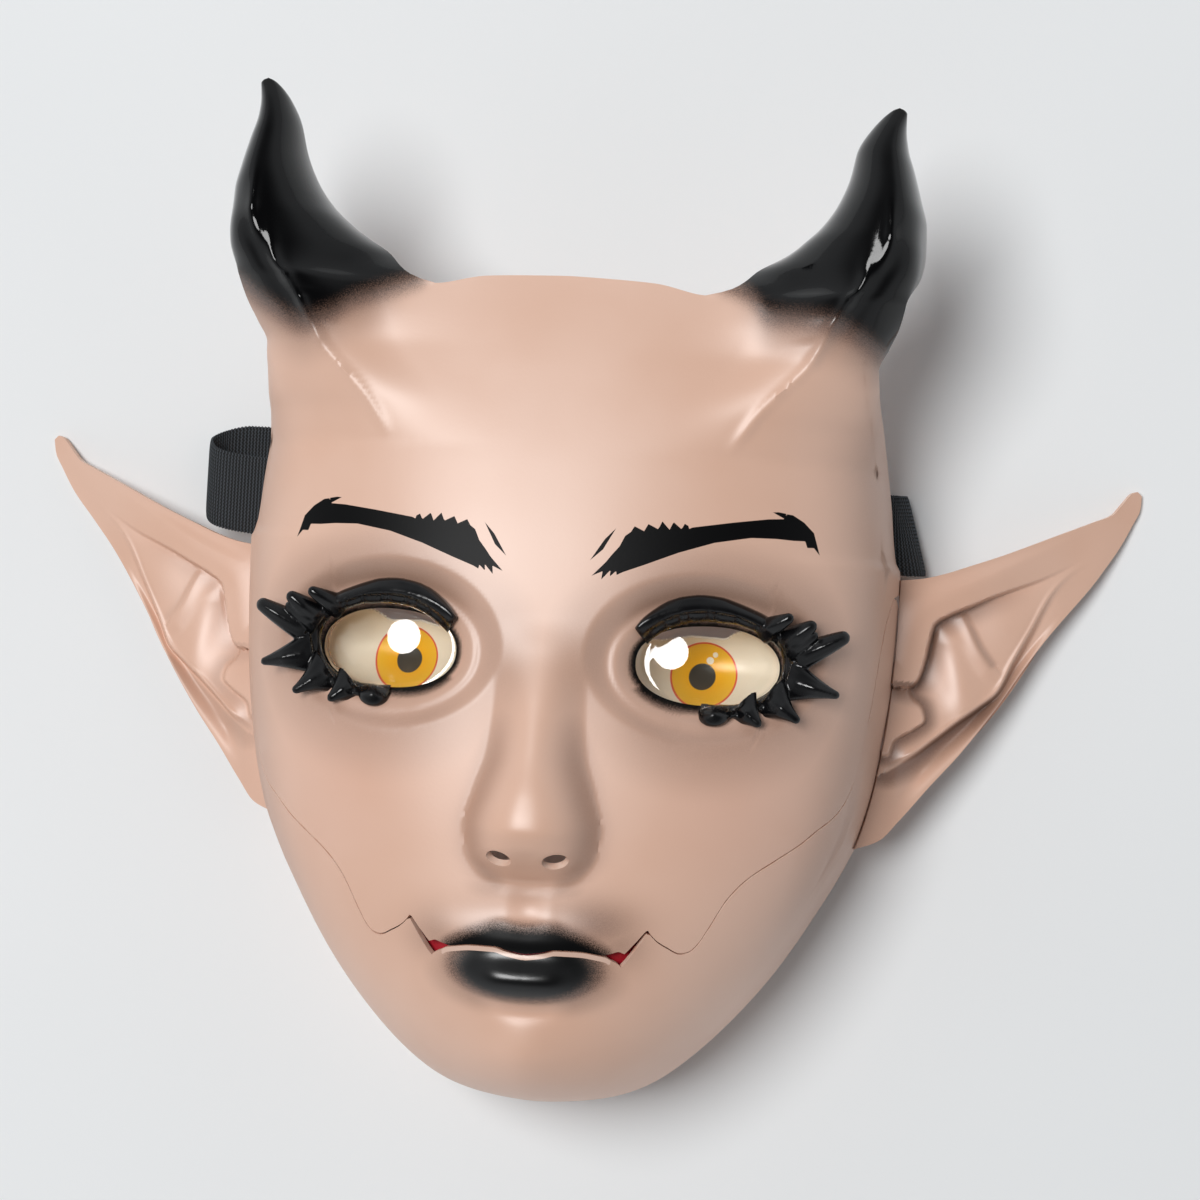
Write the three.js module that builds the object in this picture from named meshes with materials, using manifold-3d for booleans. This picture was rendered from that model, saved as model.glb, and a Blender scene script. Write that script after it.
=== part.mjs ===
// Horned creature mask with pointed ears and a hinged lower jaw, lying face up.
// Millimetres. +X is the viewer's right, +Y runs from the chin to the horns, +Z comes out of the face.
import * as THREE from 'three';
import Module from 'manifold-3d';

const wasm = await Module();
wasm.setup();

// Overall places on the mask's own axes, before it is centred on its box
const chinY = -157.5;
const hornTipY = 152;
const eyeX = 47.5;
const eyeY = -16.5;

// Moulded walls and the gaps between neighbouring pieces
const shellWall = 2.2;
const earWall = 1.8;
const layerGap = 1.4;
const seamGap = 0.7;
const seamTurn = 0.23;

// Jaw hinge on the temples: a pin moulded inside the face shell and an eyelet on the jaw
const hingeY = 8;
const hingeZ = 31;
const pinRadius = 2;
const pinFromX = 93;
const pinToX = 100.4;
const eyeletBore = 2.6;
const eyeletRadius = 4.8;
const eyeletFromX = 94.4;
const eyeletToX = 97.4;

// Elastic head strap
const strapWidth = 25;
const strapThick = 1.5;

const skin = 0xd9b094;
const black = 0x0b0b0d;

// A smooth line through (position, value) pairs that never overshoots them
function curve(points) {
  const n = points.length;
  const slope = [];
  for (let i = 0; i < n - 1; i++) {
    slope.push((points[i + 1][1] - points[i][1]) / (points[i + 1][0] - points[i][0]));
  }
  const tangent = points.map((p, i) => {
    if (i === 0) return slope[0];
    if (i === n - 1) return slope[n - 2];
    const a = slope[i - 1];
    const b = slope[i];
    return a * b > 0 ? (2 * a * b) / (a + b) : 0;
  });
  return (x) => {
    let i = 0;
    while (i < n - 2 && x > points[i + 1][0]) i++;
    const [x0, y0] = points[i];
    const [x1, y1] = points[i + 1];
    const h = x1 - x0;
    const u = (x - x0) / h;
    if (u < 0) return y0 + u * h * tangent[i];
    if (u > 1) return y1 + (u - 1) * h * tangent[i + 1];
    const v = 1 - u;
    return y0 * (1 + 2 * u) * v * v + tangent[i] * h * u * v * v
      + y1 * u * u * (3 - 2 * u) - tangent[i + 1] * h * u * u * v;
  };
}

const bell = (d) => Math.exp(-d * d);

function smooth(from, to, x) {
  const u = Math.min(1, Math.max(0, (x - from) / (to - from)));
  return u * u * (3 - 2 * u);
}

const degrees = Math.PI / 180;

// The face is a dome: width and depth grow from the chin with the square root of the height
const rise = (y) => Math.sqrt(Math.max(y - chinY, 0));
const widthAt = curve([
  [0, 0], [1.4, 19.5], [2.8, 34], [4.1, 45.6], [5.2, 55.8], [6.7, 70.2], [8, 82], [8.8, 89.3], [9.5, 94.6],
  [10.4, 98.6], [11.6, 101.5], [12.6, 102.2], [13.1, 102.2], [13.25, 100.5], [13.9, 98.2], [14.6, 95.2],
  [14.95, 93.6], [15.18, 93.4], [15.38, 96.7], [15.57, 100.8], [15.8, 105.4]]);
const depthAt = curve([
  [0, 0], [1, 26], [2, 50], [3, 71], [4, 84.5], [5, 92], [6.2, 97], [7.3, 99.5], [8.6, 101], [10, 101.5],
  [12, 101], [13, 99.6], [14, 96.2], [15, 90.5], [15.92, 83.5]]);
const frontRound = curve([[-157, 1.5], [-90, 2.7], [0, 2.3], [92, 2.6]]);
const cornerRound = curve([[-157, 3], [-90, 2.7], [0, 3.45], [60, 4.2], [92, 4.2]]);
const shoulder = curve([[44, 1], [53, 0.75], [59, 0.52], [65, 0.38], [71, 0.32], [92, 0.32]]);

// Nose, sockets, lips and chin as relief on the dome
const noseHeight = curve([
  [-90, 0], [-84, 0], [-81, 3.5], [-77, 9.5], [-72, 15], [-66, 17.3], [-58, 15.6], [-45, 11], [-30, 6],
  [-15, 1.6], [-4, 0], [0, 0]]);
const noseWidth = curve([
  [-90, 11], [-84, 12], [-80, 15.5], [-74, 19], [-66, 20], [-56, 17.5], [-45, 14.5], [-30, 13.5], [-10, 15]]);

function nose(x, y) {
  if (y < -88 || y > 0) return 0;
  const r = Math.min(1, Math.abs(x) / noseWidth(y));
  const ball = smooth(-40, -62, y);
  return noseHeight(y) * ((1 - ball) * (1 - r ** 2) ** 1.6 + ball * (1 - r ** 2.4) ** 1.1);
}

function socket(x, y) {
  const r2 = ((Math.abs(x) - 47) / 35) ** 2 + ((y + 15) / 25) ** 2;
  return -15 * Math.max(1 - r2, 0) ** 1.25;
}

function lips(x, y) {
  const upper = 2.6 * bell(x / 20) * bell((y + 98.5) / 5);
  const lower = 5.5 * bell(x / 17) * bell((y + 110.5) / 5.4);
  const crease = -2.2 * bell(x / 22) * bell((y + 120) / 4.2);
  const chin = 3 * bell(x / 15) * bell((y + 136) / 10);
  const groove = -1.2 * bell(x / 4) * bell((y + 90) / 6);
  return upper + lower + crease + chin + groove;
}

// Horn roots swell out of the forehead along a ridge
const ridgeX = curve([
  [45, 50], [57.7, 58.7], [73.7, 73.1], [83.6, 78], [90.8, 82.5], [97.3, 87.7], [103.7, 92.1], [110.7, 93.8],
  [125, 93.2], [140, 91.8], [152, 94.1]]);
const rootHeight = curve([[44, 0], [52, 1.1], [60, 2.5], [68, 4.5], [76, 7.5], [84, 11.8], [92, 17.5]]);

function hornRoot(x, y) {
  const d = Math.abs(x) - ridgeX(y);
  return y > 44 ? rootHeight(y) * bell(d / (d < 0 ? 22 : 30)) : 0;
}

const relief = (x, y) => nose(x, y) + socket(x, y) + lips(x, y) + hornRoot(x, y);

// A point of the outer surface from the height y and the angle round the dome in degrees
function domePoint(angle, y) {
  const side = Math.sign(angle);
  const c = Math.max(0, Math.cos(angle * degrees));
  const u = rise(y);
  const r = Math.max(0, 1 - c ** cornerRound(y)) ** (1 / frontRound(y));
  const x = side * widthAt(u) * r;
  const boxy = y > 44 ? smooth(-24, 4, Math.abs(x) - ridgeX(y)) : 0; // outside its ridge the horn's root is squarer
  const level = c + boxy * (c ** shoulder(y) - c);
  return new THREE.Vector3(x, y, depthAt(u) * level + relief(x, y) * smooth(0, 0.3, c));
}

// The angle round the dome at which the outer surface passes a given x
function angleAt(x, y) {
  const r = Math.min(1, Math.abs(x) / widthAt(rise(y)));
  return Math.sign(x) * Math.acos(Math.max(0, 1 - r ** frontRound(y)) ** (1 / cornerRound(y))) / degrees;
}

const surfacePoint = (x, y) => domePoint(angleAt(x, y), y);

// Angle at which the face shell's side rim lies, and the seam between face and jaw
const faceRimBase = 76.3;
const faceRim = curve([[-160, faceRimBase], [14, faceRimBase], [50, 71], [75, 63], [92, 51]]);
const faceAngle = (s, y) => Math.sign(s) * (faceRimBase * Math.abs(s) - (faceRimBase - faceRim(y)) * s * s);
const lipSeam = curve([
  [0, -103.1], [1.5, -102.3], [2.9, -101.4], [6, -101.5], [9, -102.2], [12.2, -103.2], [13.5, -103.6],
  [14.35, -101], [16.2, -94.7]]);
const cheekSeam = curve([
  [16.2, -94.7], [18.5, -97.4], [21, -99.2], [24.8, -101.1], [26.6, -100.5], [27.8, -97.8], [28.6, -92.5],
  [29.6, -85.6], [32.5, -79], [38, -73], [43.6, -68], [47, -64.5], [52.4, -60], [55.6, -55], [57.2, -48],
  [58.2, -30], [59.6, -10], [61.5, -1], [67.4, 6.5], [77, 7.5], [90, 5]]);
const seamY = (angle) => (Math.abs(angle) < 16.2 ? lipSeam : cheekSeam)(Math.abs(angle));

// The jaw's rim reaches the table in front and rises towards the hinge
const jawRim = curve([[-160, 90], [-60, 90], [-30, 86], [5, 79], [40, 79]]);
const jawAngle = (s, y) => s * jawRim(y);

// Below the hinge the jaw's edge swings towards the face shell, so it is cut back there
const jawTrim = (angle) => 3.6 * smooth(67, 77, angle);

function jawSeamY(s, drop) {
  let low = -115;
  let high = 30;
  for (let i = 0; i < 40; i++) {
    const mid = (low + high) / 2;
    const angle = jawAngle(s, mid);
    if (mid < seamY(angle - seamTurn) - jawTrim(angle) - drop) low = mid;
    else high = mid;
  }
  return low;
}

// An open surface as shared points and triangles
class Surface {
  constructor() {
    this.points = [];
    this.faces = [];
    this.index = new Map();
  }

  vertex(p) {
    const key = [p.x, p.y, p.z].map((v) => Math.round(v * 500)).join(',');
    if (!this.index.has(key)) {
      this.index.set(key, this.points.length);
      this.points.push(p);
    }
    return this.index.get(key);
  }

  patch(rows, columns, pointAt, turned = false) {
    const ids = rows.map((row) => columns.map((column) => this.vertex(pointAt(row, column))));
    for (let i = 0; i < rows.length - 1; i++) {
      for (let j = 0; j < columns.length - 1; j++) {
        const a = ids[i][j];
        const b = ids[i][j + 1];
        const c = ids[i + 1][j + 1];
        const d = ids[i + 1][j];
        for (const t of turned ? [[a, b, d], [b, c, d]] : [[a, b, c], [a, c, d]]) {
          if (new Set(t).size === 3) this.faces.push(t);
        }
      }
    }
    return this;
  }

  // Columns for the right half; the left half mirrors them, triangles and all
  bothHalves(rows, half, pointAt) {
    return this
      .patch(rows, half.toReversed(), pointAt)
      .patch(rows, half.map((s) => -s), pointAt, true);
  }

  normals() {
    const sum = this.points.map(() => new THREE.Vector3());
    for (const [a, b, c] of this.faces) {
      const p = this.points[a];
      const n = this.points[b].clone().sub(p).cross(this.points[c].clone().sub(p));
      for (const i of [a, b, c]) sum[i].add(n);
    }
    return sum.map((n) => n.normalize());
  }
}

// Closes a surface into a wall between two depths below it; both are numbers or functions of a point
function wall(surface, inner, outer = 0) {
  const depthOf = (depth, p) => (typeof depth === 'function' ? depth(p) : depth);
  const normals = surface.normals();
  const n = surface.points.length;
  const at = (depth) => surface.points.map((p, i) => p.clone().addScaledVector(normals[i], -depthOf(depth, p)));
  const points = [...at(outer), ...at(inner)];
  surface.points.forEach((p, i) => {
    if (p.z < 0.01) points[i + n].z = points[i].z = 0;
  });
  const faces = [];
  const open = new Map();
  for (const [a, b, c] of surface.faces) {
    faces.push([a, b, c], [a + n, c + n, b + n]);
    for (const [i, j] of [[a, b], [b, c], [c, a]]) {
      if (open.has(`${j},${i}`)) open.delete(`${j},${i}`);
      else open.set(`${i},${j}`, [i, j]);
    }
  }
  for (const [i, j] of open.values()) faces.push([j, i, i + n], [j, i + n, j + n]);
  return solid(points, faces);
}

// Solids for cutting and joining, and back to geometry
function solid(points, faces) {
  return new wasm.Manifold(new wasm.Mesh({
    numProp: 3,
    vertProperties: new Float32Array(points.flatMap((p) => [p.x, p.y, p.z])),
    triVerts: new Uint32Array(faces.flat()),
  }));
}

function solidOf(geometry) {
  const key = new Map();
  const points = [];
  const position = geometry.getAttribute('position');
  const ids = [];
  for (let i = 0; i < position.count; i++) {
    const p = new THREE.Vector3().fromBufferAttribute(position, i);
    const k = [p.x, p.y, p.z].map((v) => Math.round(v * 1000)).join(',');
    if (!key.has(k)) {
      key.set(k, points.length);
      points.push(p);
    }
    ids.push(key.get(k));
  }
  const index = geometry.index ? [...geometry.index.array] : ids.map((_, i) => i);
  const faces = [];
  for (let i = 0; i < index.length; i += 3) {
    const face = [ids[index[i]], ids[index[i + 1]], ids[index[i + 2]]];
    if (new Set(face).size === 3) faces.push(face);
  }
  return solid(points, faces);
}

function geometryOf(body) {
  const mesh = body.getMesh();
  const geometry = new THREE.BufferGeometry();
  geometry.setAttribute('position', new THREE.Float32BufferAttribute(mesh.vertProperties, 3));
  geometry.setIndex([...mesh.triVerts]);
  geometry.computeVertexNormals();
  return geometry;
}

const mask = new THREE.Group();

function addPiece(name, body, color, roughness, extra = {}) {
  const material = new THREE.MeshStandardMaterial({ color, roughness, metalness: 0, ...extra });
  const mesh = new THREE.Mesh(geometryOf(body), material);
  mesh.name = name;
  mask.add(mesh);
}

const mirrored = (body) => body.mirror([1, 0, 0]);
const bothSides = (body) => body.add(mirrored(body));

// A round bar along X through the temple, from one x to another
function bar(radius, fromX, toX, sides) {
  const shape = new THREE.CylinderGeometry(radius, radius, toX - fromX, sides);
  shape.rotateZ(Math.PI / 2);
  shape.translate((fromX + toX) / 2, hingeY, hingeZ);
  return solidOf(shape);
}

// An upright elliptic post through the shell, used to cut eye holes and nostrils
function post(x, y, halfX, halfY, turn, fromZ, toZ, sides) {
  const shape = new THREE.CylinderGeometry(1, 1, toZ - fromZ, sides);
  shape.rotateX(Math.PI / 2);
  shape.scale(halfX, halfY, 1);
  shape.rotateZ(turn * degrees);
  shape.translate(x, y, (fromZ + toZ) / 2);
  return solidOf(shape);
}

// Face shell: forehead to upper lip, with both horns in the same moulding
const seamAngles = [0, 3.2, 7.5, 12.2, 14, 16.2, 20, 24.8, 27.4, 29, 33, 40, 47, 53, 57.2, 59, 61, 67, 76.3];
const valley = 12.2 / faceRimBase;
const crest = 45 / faceRimBase;
const faceTopY = curve([[0, 95.8], [0.08, 94.8], [valley, 92], [1, 92]]);
const faceRows = [0, 0.04, 0.09, 0.13, 0.165, 0.2, 0.25, 0.31, 0.37, 0.43, 0.49, 0.56, 0.67, 0.83, 1];
const hornRows = [92, 98, 106, 115, 125, 134, 142, 148, hornTipY];
const hornInner = curve([
  [92, 38], [94, 45], [97, 50.5], [102, 57], [106, 63.5], [110, 69.2], [116, 75.6], [123, 80.2], [131, 83.3],
  [140, 85.2], [146, 87.6], [150, 91.2], [hornTipY, 94]]);
const hornOuter = curve([
  [92, 100.9], [100, 103], [109, 104.2], [117, 104], [125, 102], [134, 99.4], [140, 97.2], [146, 95.8],
  [150, 95.2], [hornTipY, 94]]);
const hornEdgeZ = curve([[92, 57], [104, 64], [120, 70], [140, 76], [hornTipY, 84]]);
const hornRidgeZ = curve([[92, 95], [104, 97], [120, 96], [135, 92], [145, 88], [hornTipY, 84]]);

function facePoint(t, s) {
  const side = Math.sign(s) || 1;
  const foot = seamY(faceRimBase * Math.abs(s) + seamTurn) + seamGap / 2;
  const y = foot + (faceTopY(Math.abs(s)) - foot) * t;
  return domePoint(side * Math.abs(faceAngle(s, y)), y);
}

// Above the valley each column of the shell runs on over the horn, between its two outlines
function hornPoint(y, s) {
  const side = Math.sign(s);
  const a = Math.abs(s);
  const foot = facePoint(1, a);
  const first = facePoint(1, valley).x;
  const last = facePoint(1, 1).x;
  const settle = 1 - smooth(92, 102, y);
  const inner = hornInner(y) + (first - hornInner(92)) * settle;
  const outer = hornOuter(y) + (last - hornOuter(92)) * settle;
  const q = a < crest ? (a - crest) / (crest - valley) : (a - crest) / (1 - crest);
  const ridge = (ridgeX(y) - inner) / Math.max(outer - inner, 0.01);
  const arch = Math.min(0.75, Math.max(0.3, ridge));
  const across = q < 0 ? arch + arch * Math.sin(q * 90 * degrees) : arch + (1 - arch) * Math.sin(q * 90 * degrees);
  const mix = smooth(92, 112, y);
  const share = (1 - mix) * ((foot.x - first) / (last - first)) + mix * across;
  const x = inner + (outer - inner) * share;
  const square = q > 0 ? 0.42 + 0.58 * smooth(98, 118, y) : 1;
  const fall = Math.max(Math.cos(q * 90 * degrees), 0) ** square;
  const lift = hornEdgeZ(y) + (hornRidgeZ(y) - hornEdgeZ(y)) * fall;
  return new THREE.Vector3(side * x, y, (1 - mix) * foot.z + mix * lift);
}

function faceSurface() {
  const half = seamAngles.map((a) => a / faceRimBase);
  const hornHalf = half.filter((s) => s > valley - 0.001);
  return new Surface()
    .bothHalves(faceRows.toReversed(), half, facePoint)
    .bothHalves(hornRows.toReversed(), hornHalf, hornPoint);
}

const hornWall = (p) => (p.y < 118 ? shellWall : Math.min(shellWall, 0.3 + 0.2 * (hornOuter(p.y) - hornInner(p.y))));
const faceSkin = faceSurface();
const eyeHole = post(eyeX, eyeY, 22.5, 13.5, 4, 40, 120, 24);
const nostril = post(7.9, -74.7, 3.2, 1.5, -20, 92, 130, 10);
const faceShell = wall(faceSkin, hornWall)
  .add(bothSides(bar(pinRadius, pinFromX, pinToX, 10)))
  .subtract(bothSides(eyeHole))
  .subtract(bothSides(nostril));

// Jaw shell: lower lip, chin and two rami that run up to the hinge behind the face shell
const jawColumns = [...seamAngles.map((a) => a / jawRim(seamY(a))), 1];
const jawRows = [0, 0.14, 0.3, 0.45, 0.59, 0.71, 0.8, 0.87, 0.94, 1];

function jawPoint(t, s) {
  const top = rise(jawSeamY(Math.abs(s), seamGap / 2));
  const y = chinY + (t * top) ** 2;
  return domePoint(jawAngle(s, y), y);
}

// A stepped strip behind the seam: its lower part is bonded to the jaw, its upper part lies under the face
const tuckShift = 4.5;
const tuckReach = 6;
const bondDepth = 1.2;
const tuckDepth = shellWall + layerGap;
const tuckWall = 2;

function tuckPoint(row, s) {
  const shift = (tuckShift / 90) * [-1, -0.28, 0, 1][row];
  const drop = [tuckReach - 1, 1.6, 0, -tuckReach][row];
  const y = jawSeamY(Math.min(1, s + shift), drop);
  const p = domePoint(jawAngle(s, y), y);
  p.depth = row < 2 ? bondDepth : tuckDepth;
  return p;
}

const jawSkin = new Surface().bothHalves(jawRows.toReversed(), jawColumns, jawPoint);
const tuckColumns = jawColumns.filter((s) => s > 0.2 && s < 0.98);
const tuck = wall(
  new Surface().patch([3, 2, 1, 0], tuckColumns.toReversed(), tuckPoint),
  tuckDepth + tuckWall,
  (p) => p.depth,
);
const eyelet = bar(eyeletRadius, eyeletFromX, eyeletToX, 16);
const bore = bar(eyeletBore, pinFromX - 2, pinToX, 12);
const jawShell = wall(jawSkin, shellWall)
  .add(bothSides(tuck.add(eyelet)))
  .subtract(bothSides(bore));

// Red sheet behind the lips, bonded to the jaw
const liningAngles = [0, 6, 12, 17.4];
const liningRows = [-86, -93, -99, -104, -108];
const liningDepth = 4.4;
const liningWall = 1.2;
const lining = wall(
  new Surface().bothHalves(liningRows, liningAngles, (y, a) => domePoint(a, y)),
  liningDepth + liningWall,
  liningDepth,
);

// Long pointed ear as a thin moulded leaf; top and bottom edges run from the temple to the tip
const earTop = [
  [0, 104.2, 12.3], [0.1, 110, 13.2], [0.2, 118, 15.5], [0.32, 127, 19], [0.44, 136, 22.8], [0.56, 145, 27],
  [0.68, 153.5, 31], [0.78, 160.5, 34.2], [0.87, 166.5, 36.8], [0.93, 169.8, 39.3], [0.975, 172.2, 41.9],
  [1, 174.6, 43.5]];
const earFoot = [
  [0, 94.5, -71.8], [0.1, 100.5, -69], [0.2, 105.5, -62.5], [0.32, 113, -52.5], [0.44, 122.5, -41],
  [0.56, 132.5, -27], [0.68, 143, -9.5], [0.78, 152.5, 4.8], [0.87, 162.5, 17.8], [0.93, 169.5, 26.5],
  [0.975, 174, 33.4], [1, 176.2, 40.4]];
const edgeCurves = (points) => [1, 2].map((k) => curve(points.map((p) => [p[0], p[k]])));
const [topX, topY] = edgeCurves(earTop);
const [footX, footY] = edgeCurves(earFoot);
const earRootX = curve([[-72, 94.5], [-66, 98.4], [-58, 101], [-48, 102.4], [-30, 103.1], [-6, 103.5], [12.3, 104.2]]);
const earSlope = (x) => 26.6 - (24.8 * (x - 102)) / 74;

// The hollow, the folded mound, the groove behind it, the front flap and the lobe
const hollowEdgeY = curve([
  [104, -26], [106, -21], [109, -18], [111, -12], [112.2, -5], [113.6, -1], [117, 2.2], [124, 6], [137, 12.5],
  [150, 20]]);
const grooveY = curve([
  [104, -44], [115, -37], [120, -33.5], [126, -29], [132, -23], [137, -13], [142.5, 0], [148, 11.5], [153, 19],
  [164, 31]]);
const flapX = curve([[-40, 101], [-38, 102.6], [-34, 108.6], [-30.6, 112], [-27.6, 111], [-24, 107], [-21, 105]]);

function earRelief(x, y) {
  const inside = smooth(0, -2.4, y - hollowEdgeY(x)) * smooth(-1, 2.5, y - grooveY(x));
  const deep = 6.5 * bell((x - 113) / 13) * bell((y + 16) / 17) + 2.5 * smooth(155, 135, x);
  const rim = 2.2 * smooth(0.5, 3, y - hollowEdgeY(x)) * smooth(150, 120, x);
  const mound = 3.2 * bell((y - grooveY(x) - 4) / 6) * smooth(108, 118, x) * smooth(158, 140, x);
  const behind = -1.8 * smooth(0.8, -1, y - grooveY(x)) * smooth(160, 140, x);
  const flap = 4.5 * smooth(1.2, -1.2, x - flapX(y)) * smooth(-39, -36, y) * smooth(-19, -23, y);
  const lobe = 2.6 * bell((x - 108.5) / 6) * bell((y + 41.5) / 4);
  return rim + mound + behind + flap + lobe - deep * inside;
}

function earPoint(p, q) {
  const y = topY(p) + (footY(p) - topY(p)) * q;
  const straight = topX(p) + (footX(p) - topX(p)) * q;
  const root = earRootX(y) - (topX(0) + (footX(0) - topX(0)) * ((topY(0) - y) / (topY(0) - footY(0))));
  const x = straight + root * (1 - p) ** 3;
  const fade = smooth(0, 0.08, q) * smooth(1, 0.95, q) * smooth(0, 0.05, p + 0.02);
  return new THREE.Vector3(x, y, earSlope(x) + earRelief(x, y) * fade);
}

const earRows = [0, 0.05, 0.11, 0.18, 0.26, 0.34, 0.42, 0.51, 0.6, 0.7, 0.8, 0.88, 0.94, 1];
const earColumns = [0, 0.12, 0.24, 0.34, 0.42, 0.5, 0.58, 0.67, 0.8, 1];
const earLeaf = wall(new Surface().patch(earRows, earColumns, earPoint), earWall);

// A small hook under the temple rim holds each ear
function block(fromX, toX, fromY, toY, fromZ, toZ) {
  const shape = new THREE.BoxGeometry(toX - fromX, toY - fromY, toZ - fromZ);
  shape.translate((fromX + toX) / 2, (fromY + toY) / 2, (fromZ + toZ) / 2);
  return solidOf(shape);
}

const hook = block(94.6, 107.6, 10.4, 12.9, 20.4, 22.6).add(block(105, 107.6, 9.5, 12.6, 20.4, 25.6));
const ear = earLeaf.add(hook);

// Black lash frame: a band round the upper lid and outer corner with curved spikes
const band = [
  [24.7, -7.2, 29.2, -11.5], [29.2, -2.8, 33.5, -8.9], [36, 1.6, 38.5, -6.3], [44.8, 4, 45, -4.5],
  [54, 3, 53, -4.2], [62, -0.2, 59.5, -6.2], [69, -5, 64.5, -9.6], [74.5, -12, 67.7, -14],
  [74.5, -19, 67.6, -18.5], [70.5, -26.5, 64, -23.5], [63.5, -30.6, 57.5, -27], [54.5, -33, 51, -28],
  [45, -31.8, 45.2, -27.7]];
const bandCurves = [0, 1, 2, 3].map((k) => curve(band.map((p, i) => [i, p[k]])));
const bandHeight = 3;
const lashClear = 0.5;

// Each spike: tip x, y, z, root x, y and root radius
const spikes = [
  [89.5, -4.2, 84, 71.5, -10.5, 3.3], [79, -1.4, 88, 66, -6.5, 3], [72, 0, 90, 60, -3.5, 2.7],
  [87, -23.5, 83, 71, -18.5, 3.9], [75, -31.2, 88, 67, -25, 3.2], [63.5, -33.8, 90, 60.5, -28, 2.5],
  [50.5, -34, 91.5, 51, -30, 2.4]];

function bandPoint(i, across) {
  const [outX, outY, inX, inY] = bandCurves.map((f) => f(i));
  return surfacePoint(inX + (outX - inX) * across, inY + (outY - inY) * across);
}

function spike([tipX, tipY, tipZ, rootX, rootY, radius]) {
  const root = surfacePoint(rootX, rootY).add(new THREE.Vector3(0, 0, 1.4));
  const tip = new THREE.Vector3(tipX, tipY, tipZ);
  const along = tip.clone().sub(root);
  const shape = new THREE.ConeGeometry(radius, along.length(), 7);
  shape.translate(0, along.length() / 2, 0);
  shape.applyQuaternion(new THREE.Quaternion().setFromUnitVectors(new THREE.Vector3(0, 1, 0), along.normalize()));
  shape.translate(root.x, root.y, root.z);
  return solidOf(shape);
}

const bandSteps = Array.from({ length: 13 }, (_, i) => i);
let lashes = wall(new Surface().patch(bandSteps, [1, 0.5, 0], bandPoint), 1, -bandHeight);
for (const each of spikes) lashes = lashes.add(spike(each));
lashes = lashes.subtract(wall(faceSkin, 9, -lashClear));

// Clear lens behind each eye hole and the painted dish behind the lens
const lensHalfX = 26;
const lensHalfY = 17;
const lensWall = 1;
const dishGap = 0.9;
const dishWall = 0.8;
const dishFloorZ = 62;
const dishTopY = -7;
const skirtDrop = 4.6;
const flange = 0.83;
const lensTopZ = 85;
const rings = [0, 0.45, flange, 1];
const spokes = Array.from({ length: 17 }, (_, i) => i * -22.5);

function skirtPoint(r, turn) {
  const x = eyeX + lensHalfX * r * Math.cos(turn * degrees);
  const y = eyeY + lensHalfY * r * Math.sin(turn * degrees);
  return surfacePoint(x, y).add(new THREE.Vector3(0, 0, -skirtDrop));
}

function lensPoint(r, turn) {
  const p = skirtPoint(r, turn);
  const share = Math.min(1, (r / flange) ** 2);
  if (share < 1) p.z = lensTopZ + (skirtPoint(flange, turn).z - lensTopZ) * share;
  return p;
}

function dishPoint(r, turn) {
  const p = skirtPoint(r, turn);
  const rimZ = skirtPoint(1, turn).z - lensWall - dishGap;
  p.z = dishFloorZ + (rimZ - dishFloorZ) * r * r;
  return p;
}

const roundPatch = (pointAt) => new Surface().patch(rings, spokes, pointAt);
const lens = wall(roundPatch(lensPoint), lensWall);
const dish = wall(roundPatch(dishPoint), dishWall).subtract(block(10, 90, dishTopY, 20, 40, 100));

// Elastic strap, looped out at each temple and passing under the mask
const strapLine = [
  [-92.2, 27, 42], [-92.6, 27, 31], [-95, 27.5, 22.6], [-102, 28, 19.8], [-112, 29, 18.4], [-119.5, 31, 15],
  [-122.2, 34, 8.8], [-119, 37, 2.8], [-111, 39, 0.8], [-60, 38, 0.75], [0, 34, 0.75], [60, 30, 0.75],
  [97, 27.5, 0.8], [104, 27.2, 2.4], [107, 27, 6.5], [106.4, 26.7, 12], [102, 26.3, 17], [94.6, 26, 21.4],
  [92.6, 26, 31], [92.2, 26, 42]];

function strapPoint(i, across) {
  const [x, y, z] = strapLine[i];
  return new THREE.Vector3(x, y + across * (strapWidth / 2), z);
}

const strap = wall(
  new Surface().patch(strapLine.map((_, i) => i), [-1, 1], strapPoint),
  strapThick / 2,
  -strapThick / 2,
);

addPiece('face_shell', faceShell, skin, 0.42);
addPiece('jaw_shell', jawShell, skin, 0.42);
addPiece('mouth_lining', lining, 0xb0142a, 0.5);
addPiece('ear_right', ear, skin, 0.45);
addPiece('ear_left', mirrored(ear), skin, 0.45);
addPiece('lash_frame_right', lashes, black, 0.3);
addPiece('lash_frame_left', mirrored(lashes), black, 0.3);
const clear = { transparent: true, opacity: 0.3 };
addPiece('eye_lens_right', lens, 0xffffff, 0.05, clear);
addPiece('eye_lens_left', mirrored(lens), 0xffffff, 0.05, clear);
addPiece('eye_dish_right', dish, 0xefe4cf, 0.5);
addPiece('eye_dish_left', mirrored(dish), 0xefe4cf, 0.5);
addPiece('head_strap', strap, black, 0.9);

mask.position.y = -(chinY + hornTipY) / 2;
export default mask;
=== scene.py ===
# Horned creature mask with a hinged jaw: finished surfaces, paint, camera, light and floor.
# Shapes are worked out in millimetres on the mask's own axes, as the solids are, and made in metres.
from math import radians
import bpy
import bmesh
import numpy as np
from mathutils import Matrix, Vector


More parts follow.
